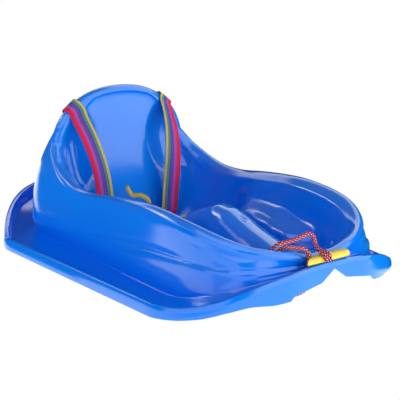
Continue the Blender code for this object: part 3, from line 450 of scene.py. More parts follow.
def between(rows):
    """More rows between the given ones, on a smooth curve through each station's points."""
    rows = np.array(rows)
    ends = np.concatenate([2 * rows[:1] - rows[1:2], rows, 2 * rows[-1:] - rows[-2:-1]])
    out = []
    for a, b, c, d in zip(ends[:-3], ends[1:-2], ends[2:-1], ends[3:]):
        spans = [np.maximum(np.linalg.norm(q - p, axis=1), 1e-5)[:, None] ** 0.5
                 for p, q in ((a, b), (b, c), (c, d))]
        t1 = spans[0]
        t2 = t1 + spans[1]
        t3 = t2 + spans[2]
        wide = np.percentile(np.linalg.norm(c - b, axis=1), 80)
        steps = max(1, int(np.ceil(wide / ROW_STEP)))
        for share in np.arange(steps) / steps:
            t = t1 + (t2 - t1) * share
            a1 = a + (b - a) * (t / t1)
            a2 = b + (c - b) * ((t - t1) / (t2 - t1))
            a3 = c + (d - c) * ((t - t2) / (t3 - t2))
            b1 = a1 + (a2 - a1) * (t / t2)
            b2 = a2 + (a3 - a2) * ((t - t1) / (t3 - t1))
            out.append(b1 + (b2 - b1) * ((t - t1) / (t2 - t1)))
    out.append(rows[-1])
    return np.array(out)


def with_moulded_forms(rows):
    """The rows with the backrest's pockets, the ridge's dimple and the thigh rolls' lenses."""
    x, y, z = rows[..., 0], rows[..., 1], rows[..., 2]
    past_crest = (np.arange(len(rows)) - np.argmax(rows[:, -1, 2]))[:, None]
    rows[..., 0] -= scoop(y, z) * past_side() * rise(past_crest, start=2, over=6)
    inside = (np.arange(len(rows)) > INSIDE_ROWS * len(rows))[:, None]
    dimple = oval(x, y, at=(0.1845, 0.0), half=(0.008, 0.005), power=0.6)
    rows[..., 2] -= DIMPLE_DEEP * dimple * inside * (z > 0.05)
    slanted = x + (y - LENS_SLANT_Y) * LENS_SLANT
    lens = oval(slanted, y, at=(0.113, 0.0945), half=(0.037, 0.0085), power=0.55)
    lens *= inside * (z > 0.045) * (z < 0.072)
    rows[..., 1] -= LENS_IN * lens
    rows[..., 2] += LENS_UP * lens
    return rows


def hull_grid():
    wall = wall_rows()
    tub = tub_rows(wall[-1])
    rows = between(flange_rows() + wall + tub)
    # The floor's rows are put on its exact height, the first few of them by and by.
    floor = rows[1 - len(between(tub[-1 - len(FLOOR_SHARES):])):]
    exact = rise(np.arange(len(floor)), start=0, over=4)[:, None]
    floor[..., 2] += (floor_height(floor[..., 0], floor[..., 1]) - floor[..., 2]) * exact
    rows = with_moulded_forms(rows)
    rows[..., 0] -= ORIGIN_X
    rows[:, (0, -1), 1] = 0.0
    rows[-1, :, 1] = 0.0
    return rows


def shifted(points):
    return np.asarray(points, float) - (ORIGIN_X, 0, 0)


def new_object(name, data):
    obj = bpy.data.objects.new(name, data)
    bpy.context.scene.collection.objects.link(obj)
    return obj


def shaded_smooth(mesh, sharp):
    """Smooth shading, but for edges sharper than so many degrees."""
    mesh.polygons.foreach_set("use_smooth", [True] * len(mesh.polygons))
    mesh.set_sharp_from_angle(angle=np.radians(sharp))


def add_mesh(name, points, faces, uvs=None, sharp=42):
    mesh = bpy.data.meshes.new(name)
    mesh.from_pydata(np.asarray(points).tolist(), [], faces)
    if uvs is not None:
        layer = mesh.uv_layers.new(name="weave")
        for loop in mesh.loops:
            layer.data[loop.index].uv = uvs[loop.vertex_index]
    shaded_smooth(mesh, sharp)
    return new_object(name, mesh)


def grid_faces(rows, columns):
    return [(i * columns + j, i * columns + j + 1, (i + 1) * columns + j + 1, (i + 1) * columns + j)
            for i in range(rows - 1) for j in range(columns - 1)]


def tube_faces(count, around, closed=False):
    """The faces of a tube of so many sections: capped, or closed to a ring."""
    faces = []
    for i in range(count if closed else count - 1):
        here, ahead = around * i, around * ((i + 1) % count)
        for k in range(around):
            beside = (k + 1) % around
            faces.append((here + k, here + beside, ahead + beside, ahead + k))
    if closed:
        return faces
    return faces + [tuple(range(around))[::-1], tuple(around * (count - 1) + k for k in range(around))]


def with_outward_faces(obj, weld=False):
    work = bmesh.new()
    work.from_mesh(obj.data)
    if weld:
        bmesh.ops.remove_doubles(work, verts=work.verts, dist=WELD)
        bmesh.ops.dissolve_degenerate(work, edges=work.edges, dist=WELD)
    bmesh.ops.recalc_face_normals(work, faces=work.faces)
    work.to_mesh(obj.data)
    work.free()


def box_into(work, size, centre, axes):
    turned = Matrix([[float(axes[k][i]) for k in range(3)] for i in range(3)]).to_4x4()
    placed = Matrix.Translation(Vector(centre)) @ turned @ Matrix.Diagonal((*size, 1.0))
    bmesh.ops.create_cube(work, size=1.0, matrix=placed)


grid = hull_grid()
half_faces = grid_faces(*grid.shape[:2])
half_points = grid.reshape(-1, 3)
both_points = np.vstack([half_points, half_points * (1, -1, 1)])
far_faces = [tuple(k + len(half_points) for k in face) for face in half_faces]
skin = BVHTree.FromPolygons([Vector(p) for p in both_points], half_faces + far_faces)


# Straps: where the webbing runs, from its end in the slot, up the back, over the rim and down to the seat.
def on_back(point, along):
    """Where a strap's middle lies when the strap touches the backrest's back at this height."""
    hits = []
    for share in (-0.5, -0.25, 0.0, 0.25, 0.5):
        start = point + along * share * WEB_WIDTH + (-OUTSIDE, 0, 0)
        hit, normal = skin.ray_cast(Vector(start), Vector((1, 0, 0)))[:2]
        hits.append(hit.x - (WEB_THICK / 2 + 2 * CLEAR) / abs(normal.x))
    return np.array((min(hits), point[1], point[2]))


def strap_path(side):
    """A shoulder strap's points, the direction of its width at each, and its slot with the slot's axes."""
    height = ARCH_TOP_Z - ARCH_BASE_Z
    z = ARCH_BASE_Z + height * (1 - (STRAP_Y / ARCH_HALF) ** ARCH_POWER) ** (1 / ARCH_POWER)
    slope = height / ARCH_HALF * (STRAP_Y / ARCH_HALF) ** (ARCH_POWER - 1)
    tilt = np.arctan(slope / ((z - ARCH_BASE_Z) / height) ** (ARCH_POWER - 1))
    over = np.array([0, np.sin(tilt), np.cos(tilt)])
    along = np.array([0, np.cos(tilt), -np.sin(tilt)])
    top = shifted((ARCH_X, STRAP_Y, z))
    back = [on_back(top - over * n, along) for n in BACK_DROPS]
    slot = np.array(skin.ray_cast(Vector(top - over * SLOT_DROP + (-OUTSIDE, 0, 0)), Vector((1, 0, 0)))[0])
    upward = back[2] - back[0]
    upward /= np.linalg.norm(upward)
    inward = np.cross(along, upward)
    inward *= np.sign(inward[0])
    tied = [slot + inward * d for d in END_DEPTHS]
    tied += [slot - inward * BEND_OUT + upward * BEND_UP, *back]
    tied += [top + over * n + np.array([q, 0, 0]) for q, n in OVER_RIM]
    low = [shifted(LOW_SLOT) + (d, 0, 0) for d in LOW_STEPS]
    low[0] += (0, 0, LOW_LIFT)
    path = np.array(tied + [shifted(p) for p in STRAP_HANG] + low)
    index = np.arange(len(path)) - len(tied) + 1
    turn = rise(index, start=0, over=5)[:, None]
    twist = np.radians(STRAP_TWIST[side]) * np.interp(index, TWIST_POINTS, TWIST_SHARES)
    across = along * (1 - turn) + np.stack([np.sin(twist), np.cos(twist), 0 * twist], 1) * turn
    flip = (1, side, 1)
    return path * flip, across * flip, (slot * flip, inward * flip, along * flip)


def resampled(path, across, spacing):
    """A strap's path and width direction at even steps, and how far along it they lie."""
    fine = curve_through(path, steps=16)
    wide = read_at(np.linspace(0, len(path) - 1, len(fine)), np.arange(len(path)), across)
    along = distances(fine)
    want = np.linspace(0, along[-1], int(along[-1] / spacing) + 1)
    return read_at(want, along, fine), read_at(want, along, wide), want


# Section of the webbing: a flat band with rounded edges, as (across, thickness) shares from -1 to 1.
EDGE = 0.06
BAND = ([(s, -1) for s in np.linspace(-1 + EDGE, 1 - EDGE, 9)]
        + [(1 - EDGE * 0.25, -0.7), (1, 0), (1 - EDGE * 0.25, 0.7)]
        + [(s, 1) for s in np.linspace(1 - EDGE, -1 + EDGE, 9)]
        + [(-1 + EDGE * 0.25, 0.7), (-1, 0), (-1 + EDGE * 0.25, -0.7)])


def webbing(name, path, across, length, folds, width=WEB_WIDTH, flip=1, shown=1.0):
    """A strap, thicker in its folds. With flip -1 its stripes run the other way; shown is their share."""
    tangent = unit(np.gradient(path, axis=0))
    across = unit(across - (across * tangent).sum(1)[:, None] * tangent)
    normal = np.cross(tangent, across)
    thick = np.full(len(path), WEB_THICK)
    for low, high in folds:
        thick[(length >= low) & (length <= high)] = FOLD_THICK
    points, uvs = [], []
    for p, a, n, h, s in zip(path, across, normal, thick, length):
        for u, v in BAND:
            points.append(p + a * u * width / 2 + n * v * h / 2)
            uvs.append(((0.5 + 0.5 * u * flip) * shown, float(s)))
    return add_mesh(name, points, tube_faces(len(path), len(BAND)), uvs, sharp=50)


# Cords: a tube whose surface carries the hills of a braid.
BRAID_STRANDS, BRAID_PITCH, BRAID_DEPTH = 8, 0.0105, 0.055
BRAID_STEP, BRAID_SIDES = 0.0011, 24


def braided(name, points):
    """The cord's mesh and its path."""
    along = distances(points)
    count = int(along[-1] / BRAID_STEP) + 1
    want = np.linspace(0, along[-1], count)
    path = read_at(want, along, points)
    tangent = unit(np.gradient(path, axis=0))
    side = np.cross(tangent[0], (0, 0, 1))
    if np.linalg.norm(side) < 0.2:
        side = np.cross(tangent[0], (1, 0, 0))
    angle = 2 * np.pi * np.arange(BRAID_SIDES) / BRAID_SIDES
    verts, uvs = [], []
    for p, t, s in zip(path, tangent, want):
        side = side - (side @ t) * t
        side /= np.linalg.norm(side)
        other = np.cross(t, side)
        turn = 2 * np.pi * s / BRAID_PITCH
        hills = sum(np.abs(np.sin(BRAID_STRANDS / 4 * angle + way * turn)) for way in (1, -1))
        r = ROPE / 2 * (1 - BRAID_DEPTH * (2 - hills))
        verts.append(p + r[:, None] * (np.cos(angle)[:, None] * side + np.sin(angle)[:, None] * other))
        uvs += [(k / BRAID_SIDES, float(s)) for k in range(BRAID_SIDES)]
    return add_mesh(name, np.concatenate(verts), tube_faces(count, BRAID_SIDES), uvs, sharp=60), path


# Materials.
class Nodes:
    """The node tree of a material or a world, with short calls for the nodes used here."""

    def __init__(self, owner):
        owner.use_nodes = True
        self.owner = owner
        self.tree = owner.node_tree

    def add(self, kind, **settings):
        node = self.tree.nodes.new(kind)
        for key, value in settings.items():
            setattr(node, key, value)
        return node

    def give(self, socket, value):
        """Feed a socket with another node's output, a number or a colour."""
        if isinstance(value, bpy.types.NodeSocket):
            self.tree.links.new(value, socket)
        else:
            socket.default_value = (*value, 1.0) if isinstance(value, tuple) else value

    def fill(self, node, **values):
        """Feed a node's inputs by name."""
        for name, value in values.items():
            self.give(node.inputs[name.replace("_", " ")], value)

    def math(self, operation, *values):
        node = self.add("ShaderNodeMath", operation=operation)
        for socket, value in zip(node.inputs, values):
            self.give(socket, value)
        return node.outputs[0]

    def times(self, a, b):
        return self.math("MULTIPLY", a, b)

    def scaled(self, value, by, plus):
        return self.math("MULTIPLY_ADD", value, by, plus)

    def noise(self, scale, detail, stretch=(1, 1, 1)):
        fit = self.add("ShaderNodeMapping")
        fit.inputs["Scale"].default_value = stretch
        self.fill(fit, Vector=self.add("ShaderNodeTexCoord").outputs["Object"])
        node = self.add("ShaderNodeTexNoise")
        self.fill(node, Scale=scale, Detail=detail, Vector=fit.outputs[0])
        return node.outputs["Fac"]

    def ramp(self, value, stops):
        node = self.add("ShaderNodeValToRGB")
        points = node.color_ramp.elements
        while len(points) < len(stops):
            points.new(0.5)
        for point, (at, colour) in zip(points, stops):
            point.position = at
            point.color = (*colour, 1.0)
        self.give(node.inputs[0], value)
        return node.outputs[0]

    def mix(self, share, a, b):
        node = self.add("ShaderNodeMix", data_type="RGBA")
        for place, value in ((0, share), (6, a), (7, b)):
            self.give(node.inputs[place], value)
        return node.outputs[2]

    def bump(self, height, distance, strength, after=None):
        node = self.add("ShaderNodeBump")
        self.fill(node, Strength=strength, Distance=distance, Height=height)
        if after is not None:
            self.fill(node, Normal=after)
        return node.outputs[0]

    def coordinates(self, output):
        """X, Y and Z of the UV map or of the object's own coordinates."""
        parts = self.add("ShaderNodeSeparateXYZ")
        self.fill(parts, Vector=output)
        return parts.outputs

    def weave(self):
        """Across and along a strap or cord."""
        return self.coordinates(self.add("ShaderNodeUVMap", uv_map="weave").outputs[0])[:2]

    def surface(self, colour, normal, roughness, specular):
        self.fill(self.tree.nodes["Principled BSDF"], Base_Color=colour, Normal=normal, Roughness=roughness,
                  Specular_IOR_Level=specular)
        return self.owner


def linear(r, g, b):
    """A colour written as 0 to 255 display values, as the shader needs it."""
    return tuple(((c / 255 + 0.055) / 1.055) ** 2.4 if c > 10 else c / 255 / 12.92 for c in (r, g, b))


BLACK, WHITE = (0, 0, 0), (1, 1, 1)
SCUFF_LEVEL, SCUFF_ROUGH, PATCHY = 0.7, 0.05, 0.06


def moulded_plastic(name, colour, shade, roughness=0.13, grain=0.00006, waves=0.0002):
    """Moulded plastic: a slow drift of tone, faint waves of the mould and fine handling marks."""
    n = Nodes(bpy.data.materials.new(name))
    drift = n.noise(scale=3.5, detail=3.0)
    tone = n.mix(n.ramp(drift, ((0.35, BLACK), (0.7, WHITE))), colour, shade)
    scuff = n.noise(scale=55.0, detail=6.0, stretch=(0.35, 1.0, 1.0))
    marks = n.times(n.math("GREATER_THAN", scuff, SCUFF_LEVEL), SCUFF_ROUGH)
    patches = n.noise(scale=24.0, detail=4.0)
    lift = n.scaled(patches, PATCHY, roughness - PATCHY / 2)
    waviness = n.bump(n.noise(scale=7.0, detail=1.0), waves, strength=0.5)
    fine = n.bump(n.noise(scale=900.0, detail=2.0), grain, strength=0.35, after=waviness)
    return n.surface(tone, fine, n.math("ADD", lift, marks), specular=0.5)


STRIPES = [(at, linear(*display)) for at, *display in (
    (0, 246, 202, 70), (0.03, 250, 214, 84), (0.135, 244, 210, 96), (0.165, 66, 146, 118),
    (0.29, 84, 168, 140), (0.32, 84, 84, 172), (0.36, 80, 52, 166), (0.53, 102, 64, 186),
    (0.56, 180, 84, 190), (0.7, 214, 92, 176), (0.73, 250, 40, 108), (0.8, 254, 14, 78), (1, 246, 6, 64),
)]
# The weave: the pitch of its cross ribs and yarns, the dotted stripe across it, and how dark the painted
# shade in its gaps is.
RIB, YARN = 0.00115, 0.0009
DOTS_START, DOTS_END, DOTS_SHARE = 0.37, 0.5, 0.45
WEAVE_GAP_SHADE, FUZZ_PALE, FUZZ_HIGH, WEAVE_HIGH = 0.25, 0.05, 0.35, 0.00035
# The braid: how much of a strand's two ways is fleck, the dark gap beside it, which is painted shade, and
# how rough the fibre is.
FLECK_ONE, FLECK_TWO, GAP_WIDE, GROOVE_SHADE_SHARE, FIBRE_SHARE, FIBRE_HIGH = 0.46, 0.5, 0.09, 0.5, 0.5, 0.0003


def woven_webbing(name):
    """Webbing striped across its width, with the cross ribs and yarns of its weave and painted shade in
    their gaps.
    """
    n = Nodes(bpy.data.materials.new(name))
    across, along = n.weave()
    colour = n.ramp(across, STRIPES)
    rib = n.math("ABSOLUTE", n.math("SINE", n.times(along, float(np.pi / RIB))))
    yarn = n.math("ABSOLUTE", n.math("SINE", n.times(across, float(np.pi * WEB_WIDTH / YARN))))
    weave = n.times(rib, yarn)
    row = n.math("FRACT", n.times(along, 1 / (2 * RIB)))
    inner = n.times(n.math("GREATER_THAN", across, DOTS_START), n.math("LESS_THAN", across, DOTS_END))
    dots = n.times(n.math("GREATER_THAN", row, 0.5), inner)
    colour = n.mix(n.times(dots, DOTS_SHARE), colour, linear(168, 120, 214))
    # Painted shade: the gaps between the ribs and yarns are darkened toward a dark purple.
    colour = n.mix(n.scaled(weave, 0.01 - WEAVE_GAP_SHADE, WEAVE_GAP_SHADE), colour, linear(40, 20, 60))
    fuzz = n.noise(scale=500.0, detail=3.0)
    colour = n.mix(n.times(fuzz, FUZZ_PALE), colour, linear(240, 225, 235))
    height = n.scaled(fuzz, FUZZ_HIGH, weave)
    return n.surface(colour, n.bump(height, WEAVE_HIGH, strength=0.9), roughness=0.78, specular=0.25)


def braided_cord(name):
    """Red braid with white flecks where the lighter strands cross, and painted shade in the gaps between
    strands.
    """
    n = Nodes(bpy.data.materials.new(name))
    around, along = n.weave()
    turn = n.times(around, BRAID_STRANDS / 2)
    run = n.times(along, 2 / BRAID_PITCH)
    one, two = (n.math("FRACT", n.math(way, turn, run)) for way in ("ADD", "SUBTRACT"))
    fleck = n.times(n.math("LESS_THAN", one, FLECK_ONE), n.math("LESS_THAN", two, FLECK_TWO))
    fibre = n.noise(scale=900.0, detail=3.0)
    red, pale = (n.mix(n.times(fibre, FIBRE_SHARE), linear(*a), linear(*b)) for a, b in
                 (((166, 4, 34), (188, 16, 50)), ((246, 226, 230), (222, 176, 186))))
    # Painted shade: a narrow darker red band in the gap beside each strand.
    groove_shade = n.times(n.math("LESS_THAN", one, GAP_WIDE), GROOVE_SHADE_SHARE)
    colour = n.mix(groove_shade, n.mix(fleck, red, pale), linear(120, 16, 36))
    return n.surface(colour, n.bump(fibre, FIBRE_HIGH, strength=0.7), roughness=0.82, specular=0.2)


shell_blue = moulded_plastic("shell_blue", linear(0, 135, 246), linear(0, 128, 243))
nylon_black = moulded_plastic("nylon_black", linear(26, 26, 30), linear(38, 38, 42), 0.42, 0.00012)
handle_yellow = moulded_plastic("handle_yellow", linear(255, 226, 70), linear(252, 214, 48), 0.34)
striped_web = woven_webbing("striped_web")
rope_red = braided_cord("rope_red")


def dressed(obj, mat, body, node):
    obj.data.materials.clear()
    obj.data.materials.append(mat)
    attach(obj, body)
    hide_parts(node)
    return obj


# The hull: both halves of the skin, its wall, and the slots and rope hole cut through it.
def slot_boxes(work):
    for side in (1, -1):
        slot, inward, along = strap_path(side)[2]
        box_into(work, (SLOT_LONG, SLOT_WIDE, SLOT_DEEP), slot, (along, np.cross(inward, along), inward))
        low = shifted(LOW_SLOT) * (1, side, 1)
        box_into(work, (LOW_SLOT_DEEP, SLOT_LONG, SLOT_WIDE), low, np.eye(3))
        belt = shifted((BELT_X, BELT_SLOT_Y * side, BELT_Z))
        box_into(work, (SLOT_WIDE, BELT_SLOT_DEEP, SLOT_LONG), belt, np.eye(3))


def make_hull():
    hull = add_mesh("hull_shell", both_points, half_faces + [face[::-1] for face in far_faces])
    with_outward_faces(hull, weld=True)
    wall = hull.modifiers.new("wall", "SOLIDIFY")
    wall.thickness = WALL
    wall.offset = -1.0
    cutter = bpy.data.meshes.new("openings")
    work = bmesh.new()
    slot_boxes(work)
    bmesh.ops.create_cone(work, cap_ends=True, segments=32, radius1=HOLE / 2, radius2=HOLE / 2,
                          depth=HOLE_DEEP, matrix=Matrix.Translation(shifted(HOLE_AT)))
    work.to_mesh(cutter)
    work.free()
    knife = new_object("openings", cutter)
    cut = hull.modifiers.new("cut", "BOOLEAN")
    cut.operation = "DIFFERENCE"
    cut.solver = "EXACT"
    cut.object = knife
    graph = bpy.context.evaluated_depsgraph_get()
    mesh = bpy.data.meshes.new_from_object(hull.evaluated_get(graph), depsgraph=graph)
    hull.modifiers.clear()
    hull.data = mesh
    bpy.data.objects.remove(knife, do_unlink=True)
    shaded_smooth(hull.data, sharp=42)
    dressed(hull, shell_blue, "sled", "hull")


def make_harness():
    for side, word in ((1, "left"), (-1, "right")):
        path, across, _ = strap_path(side)
        pts, wid, length = resampled(path, across, spacing=0.0014)
        strap = webbing("webbing_shoulder_" + word, pts, wid, length,
                        folds=((0, FOLD_LONG), (length[-1] - FOLD_LONG, length[-1])))
        dressed(strap, striped_web, "sled", "shoulder_strap_" + word)
        near, body = BELT_START[side], "release_side" if side > 0 else "sled"
        ys = np.linspace(near, BELT_END, num=70)
        line = shifted(np.stack([0 * ys + BELT_X, ys * side, 0 * ys + BELT_Z], 1))
        belt = webbing("webbing_lap_" + word, line, np.tile((0, 0, 1), (len(ys), 1)), ys - near,
                       folds=((BELT_END - near - BELT_FOLD, 1),), flip=-1)
        dressed(belt, striped_web, body, "lap_belt_" + word)
    tail = shifted(np.array(TAIL_FOOT) + TAIL_CURL @ np.array([TAIL_WAY, (0, 0, 1)]))
    across = np.tile((TAIL_WAY[1], -TAIL_WAY[0], 0), (len(tail), 1))
    pts, wid, length = resampled(tail, across, spacing=0.0012)
    loose = webbing("webbing_tail", pts, wid, length, folds=((0, 1),), width=0.02, flip=-1, shown=0.2)
    dressed(loose, striped_web, "sled", "belt_tail")


# The tow rope, its knots and the handle.
def over_handle(angle, y, lift):
    """A point round the handle's front edge, or past 90 degrees so many millimetres back over its top."""
    half = HANDLE_WIDE / 2 - HANDLE_THICK / 2
    reach = HANDLE_THICK / 2 + lift
    level = HANDLE_AT[2] + HANDLE_RISE * (y - HANDLE_AT[1])
    if angle <= 90:
        t = np.radians(angle)
        return (HANDLE_AT[0] + half + reach * np.cos(t), y, level + reach * np.sin(t))
    return (HANDLE_AT[0] + half - (angle - 90) / 1000, y, level + reach)


def make_handle():
    half, radius = HANDLE_WIDE / 2 - HANDLE_THICK / 2, HANDLE_THICK / 2
    lip = HANDLE_WALL / 2
    # Round the wall as (Y, depth inside the tube): a rim, the outside, the other rim and the bore.
    rings = [(end * (HANDLE_LONG / 2 - lip + lip * np.sin(s)), HANDLE_WALL - lip * (1 - np.cos(s)))
             for end, start, stop in ((-1, 0, np.pi), (1, np.pi, 0))
             for s in np.linspace(start, stop, LIP_POINTS)]
    rings.insert(LIP_POINTS, (0.0, 0.0))
    rings.append((0.0, HANDLE_WALL))
    verts = []
    for y, inner in rings:
        for k in range(HANDLE_SIDES):
            angle = 2 * np.pi * k / HANDLE_SIDES - np.pi / 2
            centre = half if np.cos(angle) > 1e-9 else -half
            x = centre + (radius - inner) * np.cos(angle)
            run = y + HANDLE_SLANT * (0.5 - x / HANDLE_WIDE) if y < 0 else y
            verts.append((HANDLE_AT[0] - ORIGIN_X + x, HANDLE_AT[1] + run,
                          HANDLE_AT[2] + (radius - inner) * np.sin(angle) + HANDLE_RISE * run))
    faces = tube_faces(len(rings), HANDLE_SIDES, closed=True)
    handle = add_mesh("handle_tube", verts, faces, sharp=50)
    with_outward_faces(handle)
    return dressed(handle, handle_yellow, "sled", "tow_handle")


def make_rope():
    def laid(name, points, node):
        cord, path = braided(name, shifted(points))
        return dressed(cord, rope_red, "sled", node), path

    lay = ROPE / 2 + KNOT_LIFT
    knot = [over_handle(a, KNOT_Y - KNOT_SPREAD, lay) for a in KNOT_ANGLES]
    knot += [over_handle(KNOT_OVER, KNOT_Y - KNOT_CROSS, lay + KNOT_LIFT),
             over_handle(KNOT_TOP, KNOT_Y, lay + 2 * KNOT_LIFT),
             over_handle(KNOT_OVER, KNOT_Y + KNOT_CROSS, lay + KNOT_LIFT)]
    knot += [over_handle(a, KNOT_Y + KNOT_SPREAD, lay) for a in reversed(KNOT_ANGLES)]
    hitch, _ = laid("rope_hitch", curve_through(knot), "handle_knot")

    turns = np.linspace(0, 2 * np.pi * STOP_TURNS, num=60)
    radius, pitch = ROPE + KNOT_LIFT, ROPE + STOP_GAP
    wound = np.stack([radius * np.cos(turns), radius * np.sin(turns), -turns / (2 * np.pi) * pitch], 1)
    stop, _ = laid("rope_stop", np.array(HOLE_AT) - (0, 0, STOP_DROP) + wound, "stop_knot")

    rope, path = laid("rope_line", curve_through(ROPE_ROUTE, steps=14), "tow_rope")
    return rope, path, float(distances(path)[-1]), (hitch, stop)


make_hull()
make_harness()
handle = make_handle()
rope, rope_path, rope_length, knots = make_rope()

keepers = [kind + "_" + word for kind in ("strap_keeper_back", "strap_keeper_low", "belt_keeper")
           for word in ("left", "right")]
for node in (*keepers, "buckle_socket", "buckle_insert"):
    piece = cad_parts[node]
    piece.data.materials.clear()
    piece.data.materials.append(nylon_black)
    shaded_smooth(piece.data, sharp=40)


# Stage: a bright floor that the camera sees as white, and soft panels and a canopy that it doesn't see. A
# patch of light is its centre X and Y, then the half sizes in X where it is full and ends, and those in Y.
FLOOR_Z, CANOPY_Z = -0.0006, 2.0
SLED_SIDE = (0.226, 0.242)
AHEAD_LINE, AHEAD_FADE = (0.788, -0.616, -0.132), (0.045, 0.005)
NOSE_FADE, PAST_FADE, NOSE_LEAST = (0.24, 0.32), (0.5, 0.43), 0.4
BRIGHT, BRIGHT_GAIN, DIM_SHARE = (-2.5, -1.85, 0.5, 0.8, 0.35, 0.6), 3.6, -0.85
DIM_MIDDLE, DIM_FLANK = (-0.85, -0.05, 1.25, 1.55, 0.75, 1.0), (-1.0, -1.8, 0.5, 0.75, 0.9, 1.1)
CANOPY_PATCH = (0.0, 0.0, 2.8, 3.5, 2.8, 3.5)
# Sheets: width, height, light given and mirrored. Panels have where and towards what before these, and the
# soft share of their edge after.
FLOOR, CANOPY = (12, 12, 1.2, 1.9), (7.2, 7.2, 0.12, 2.8)
PANELS = {
    "backdrop": ((-2.52, 1.97, 1.3), (0, 0, 1.3), 9.0, 2.6, 0.25, 0.05, 0.01),
    "left": ((-1.87, -0.87, 0.8), (0, 0, 0.1), 1.9, 1.2, 2.9, 0.0, 0.25),
    "side": ((1.0, -2.8, 0.7), (0, 0, 0.7), 3.4, 1.6, 0.3, 1.9, 0.2),
    "front": ((2.5, 0.95, 0.75), (0, 0, 0.75), 5.2, 2.6, 2.8, 3.0, 0.3),
}


def seen_white(n, paths, strength):
    """Whether a ray comes from the camera, and the strength, which is 1 if it does."""
    seen = n.math("MAXIMUM", paths["Is Camera Ray"], paths["Is Transmission Ray"])
    return seen, n.scaled(seen, n.math("SUBTRACT", 1.0, strength), strength)


def glowing(name, given, mirrored, share):
    """A surface that is white to the camera, with the light it gives and the share it has in gloss."""
    n = Nodes(bpy.data.materials.new(name))
    paths = n.add("ShaderNodeLightPath").outputs
    x, y, _ = n.coordinates(n.add("ShaderNodeTexCoord").outputs["Object"])
    glossy = n.scaled(share(n, x, y), mirrored, -given)
    _, strength = seen_white(n, paths, n.scaled(paths["Is Glossy Ray"], glossy, given))
    glow = n.add("ShaderNodeEmission")
    n.fill(glow, Color=WHITE, Strength=strength)
    n.fill(n.tree.nodes["Material Output"], Surface=glow.outputs[0])
    return n.owner


def fading(n, value, full, none):
    """1 where the value is on the full side, 0 past the other."""
    node = n.add("ShaderNodeMapRange", interpolation_type="SMOOTHSTEP")
    n.fill(node, Value=value, From_Min=none, From_Max=full)
    return node.outputs["Result"]


def patch(n, x, y, form):
    """1 inside a rectangle, fading to 0 round it."""
    at_x, at_y, full_x, none_x, full_y, none_y = form
    across, along = (n.math("ABSOLUTE", n.math("SUBTRACT", a, b)) for a, b in ((x, at_x), (y, at_y)))
    return n.times(fading(n, across, full_x, none_x), fading(n, along, full_y, none_y))


def stage_sheet(name, width, height, given, mirrored, share):
    """A sheet of light in its own XY plane, out of the camera's sight."""
    a, b = width / 2, height / 2
    mesh = bpy.data.meshes.new(name)
    mesh.from_pydata([(-a, -b, 0), (a, -b, 0), (a, b, 0), (-a, b, 0)], [], [(0, 1, 2, 3)])
    mesh.materials.append(glowing(name + "_white", given, mirrored, share))
    sheet = new_object(name, mesh)
    sheet.visible_camera = False
    return sheet


def panel(name, where, towards, width, height, given, mirrored, soft):
    """An upright or tilted sheet of light with soft edges in reflections."""
    way = (Vector(towards) - Vector(where)).normalized()
    across = way.cross(Vector((0, 0, 1))).normalized()
    form = (0.0, 0.0, width / 2 * (1 - soft), width / 2, height / 2 * (1 - soft), height / 2)
    sheet = stage_sheet(name, width, height, given, mirrored, lambda n, x, y: patch(n, x, y, form))
    turn = Matrix((across, across.cross(way), -way)).transposed()
    sheet.matrix_world = Matrix.Translation(where) @ turn.to_4x4()


def floor_share(n, x, y):
    """Where the floor is white in gloss: all along the sled's width, and ahead of a slanting line."""
    a, b, c = AHEAD_LINE
    line = n.scaled(x, a, n.scaled(y, b, c))
    off_nose = n.math("MAXIMUM", fading(n, x, *NOSE_FADE), fading(n, x, *PAST_FADE))
    full = n.scaled(off_nose, 1 - NOSE_LEAST, NOSE_LEAST)
    ahead = n.times(fading(n, line, *AHEAD_FADE), full)
    return n.math("MAXIMUM", fading(n, n.math("ABSOLUTE", y), *SLED_SIDE), ahead)


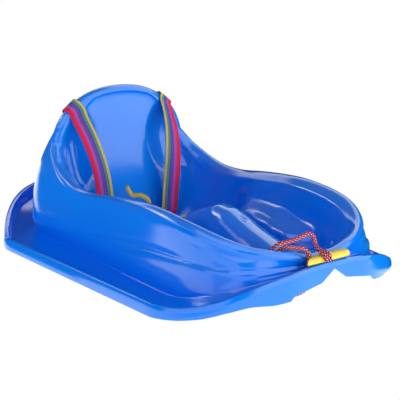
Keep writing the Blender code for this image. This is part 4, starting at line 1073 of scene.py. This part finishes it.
def canopy_share(n, x, y):
    """How white the canopy is in gloss: a bright patch behind the sled, and dim above it and beside it."""
    dim = n.math("MAXIMUM", patch(n, x, y, DIM_MIDDLE), patch(n, x, y, DIM_FLANK))
    even = n.times(patch(n, x, y, CANOPY_PATCH), n.scaled(dim, DIM_SHARE, 1.0))
    return n.scaled(patch(n, x, y, BRIGHT), BRIGHT_GAIN, even)


def stage():
    floor = stage_sheet("floor", *FLOOR, floor_share)
    floor.location.z = FLOOR_Z
    floor.visible_camera = True
    canopy = stage_sheet("canopy", *CANOPY, canopy_share)
    canopy.location.z = CANOPY_Z
    for name, form in PANELS.items():
        panel(name, *form)


def lamp(name, where, towards, size, watts, colour):
    """A soft square lamp that doesn't show in gloss."""
    data = bpy.data.lights.new(name, "AREA")
    data.shape = "RECTANGLE"
    data.size = data.size_y = size
    data.energy = watts
    data.color = colour
    obj = new_object(name, data)
    obj.location = where
    obj.rotation_euler = (Vector(towards) - Vector(where)).to_track_quat("-Z", "Y").to_euler()
    obj.visible_glossy = False


def world_light(strength, glossy, colour):
    """Light from all round, weaker in gloss, that the camera sees as white."""
    n = Nodes(bpy.data.worlds.new("studio"))
    bpy.context.scene.world = n.owner
    paths = n.add("ShaderNodeLightPath").outputs
    light = n.scaled(paths["Is Glossy Ray"], glossy - strength, strength)
    seen, shown = seen_white(n, paths, light)
    n.fill(n.tree.nodes["Background"], Strength=shown, Color=n.mix(seen, colour, WHITE))


def photo_camera():
    data = bpy.data.cameras.new("camera")
    data.sensor_width = SENSOR
    data.lens = SENSOR * FOCAL_PIXELS / IMAGE_PIXELS
    data.clip_start = 0.01
    obj = new_object("camera", data)
    a, e = np.radians((VIEW_AZIMUTH, VIEW_ELEVATION))
    right = Vector((np.cos(a), np.sin(a), 0))
    up = Vector((-np.sin(e) * np.sin(a), np.sin(e) * np.cos(a), np.cos(e)))
    turn = Matrix((right, up, right.cross(up))).transposed()
    obj.matrix_world = Matrix.Translation(VIEW_FROM) @ turn.to_4x4()
    bpy.context.scene.camera = obj


stage()
lamp("over", where=(0.6, -1.9, 1.2), towards=(0.0, 0.1, 0.0), size=1.2, watts=9, colour=(0.28, 0.5, 1.0))
world_light(strength=0.34, glossy=0.05, colour=(0.22, 0.42, 1.0))
photo_camera()
bpy.context.scene.view_settings.view_transform = "Standard"
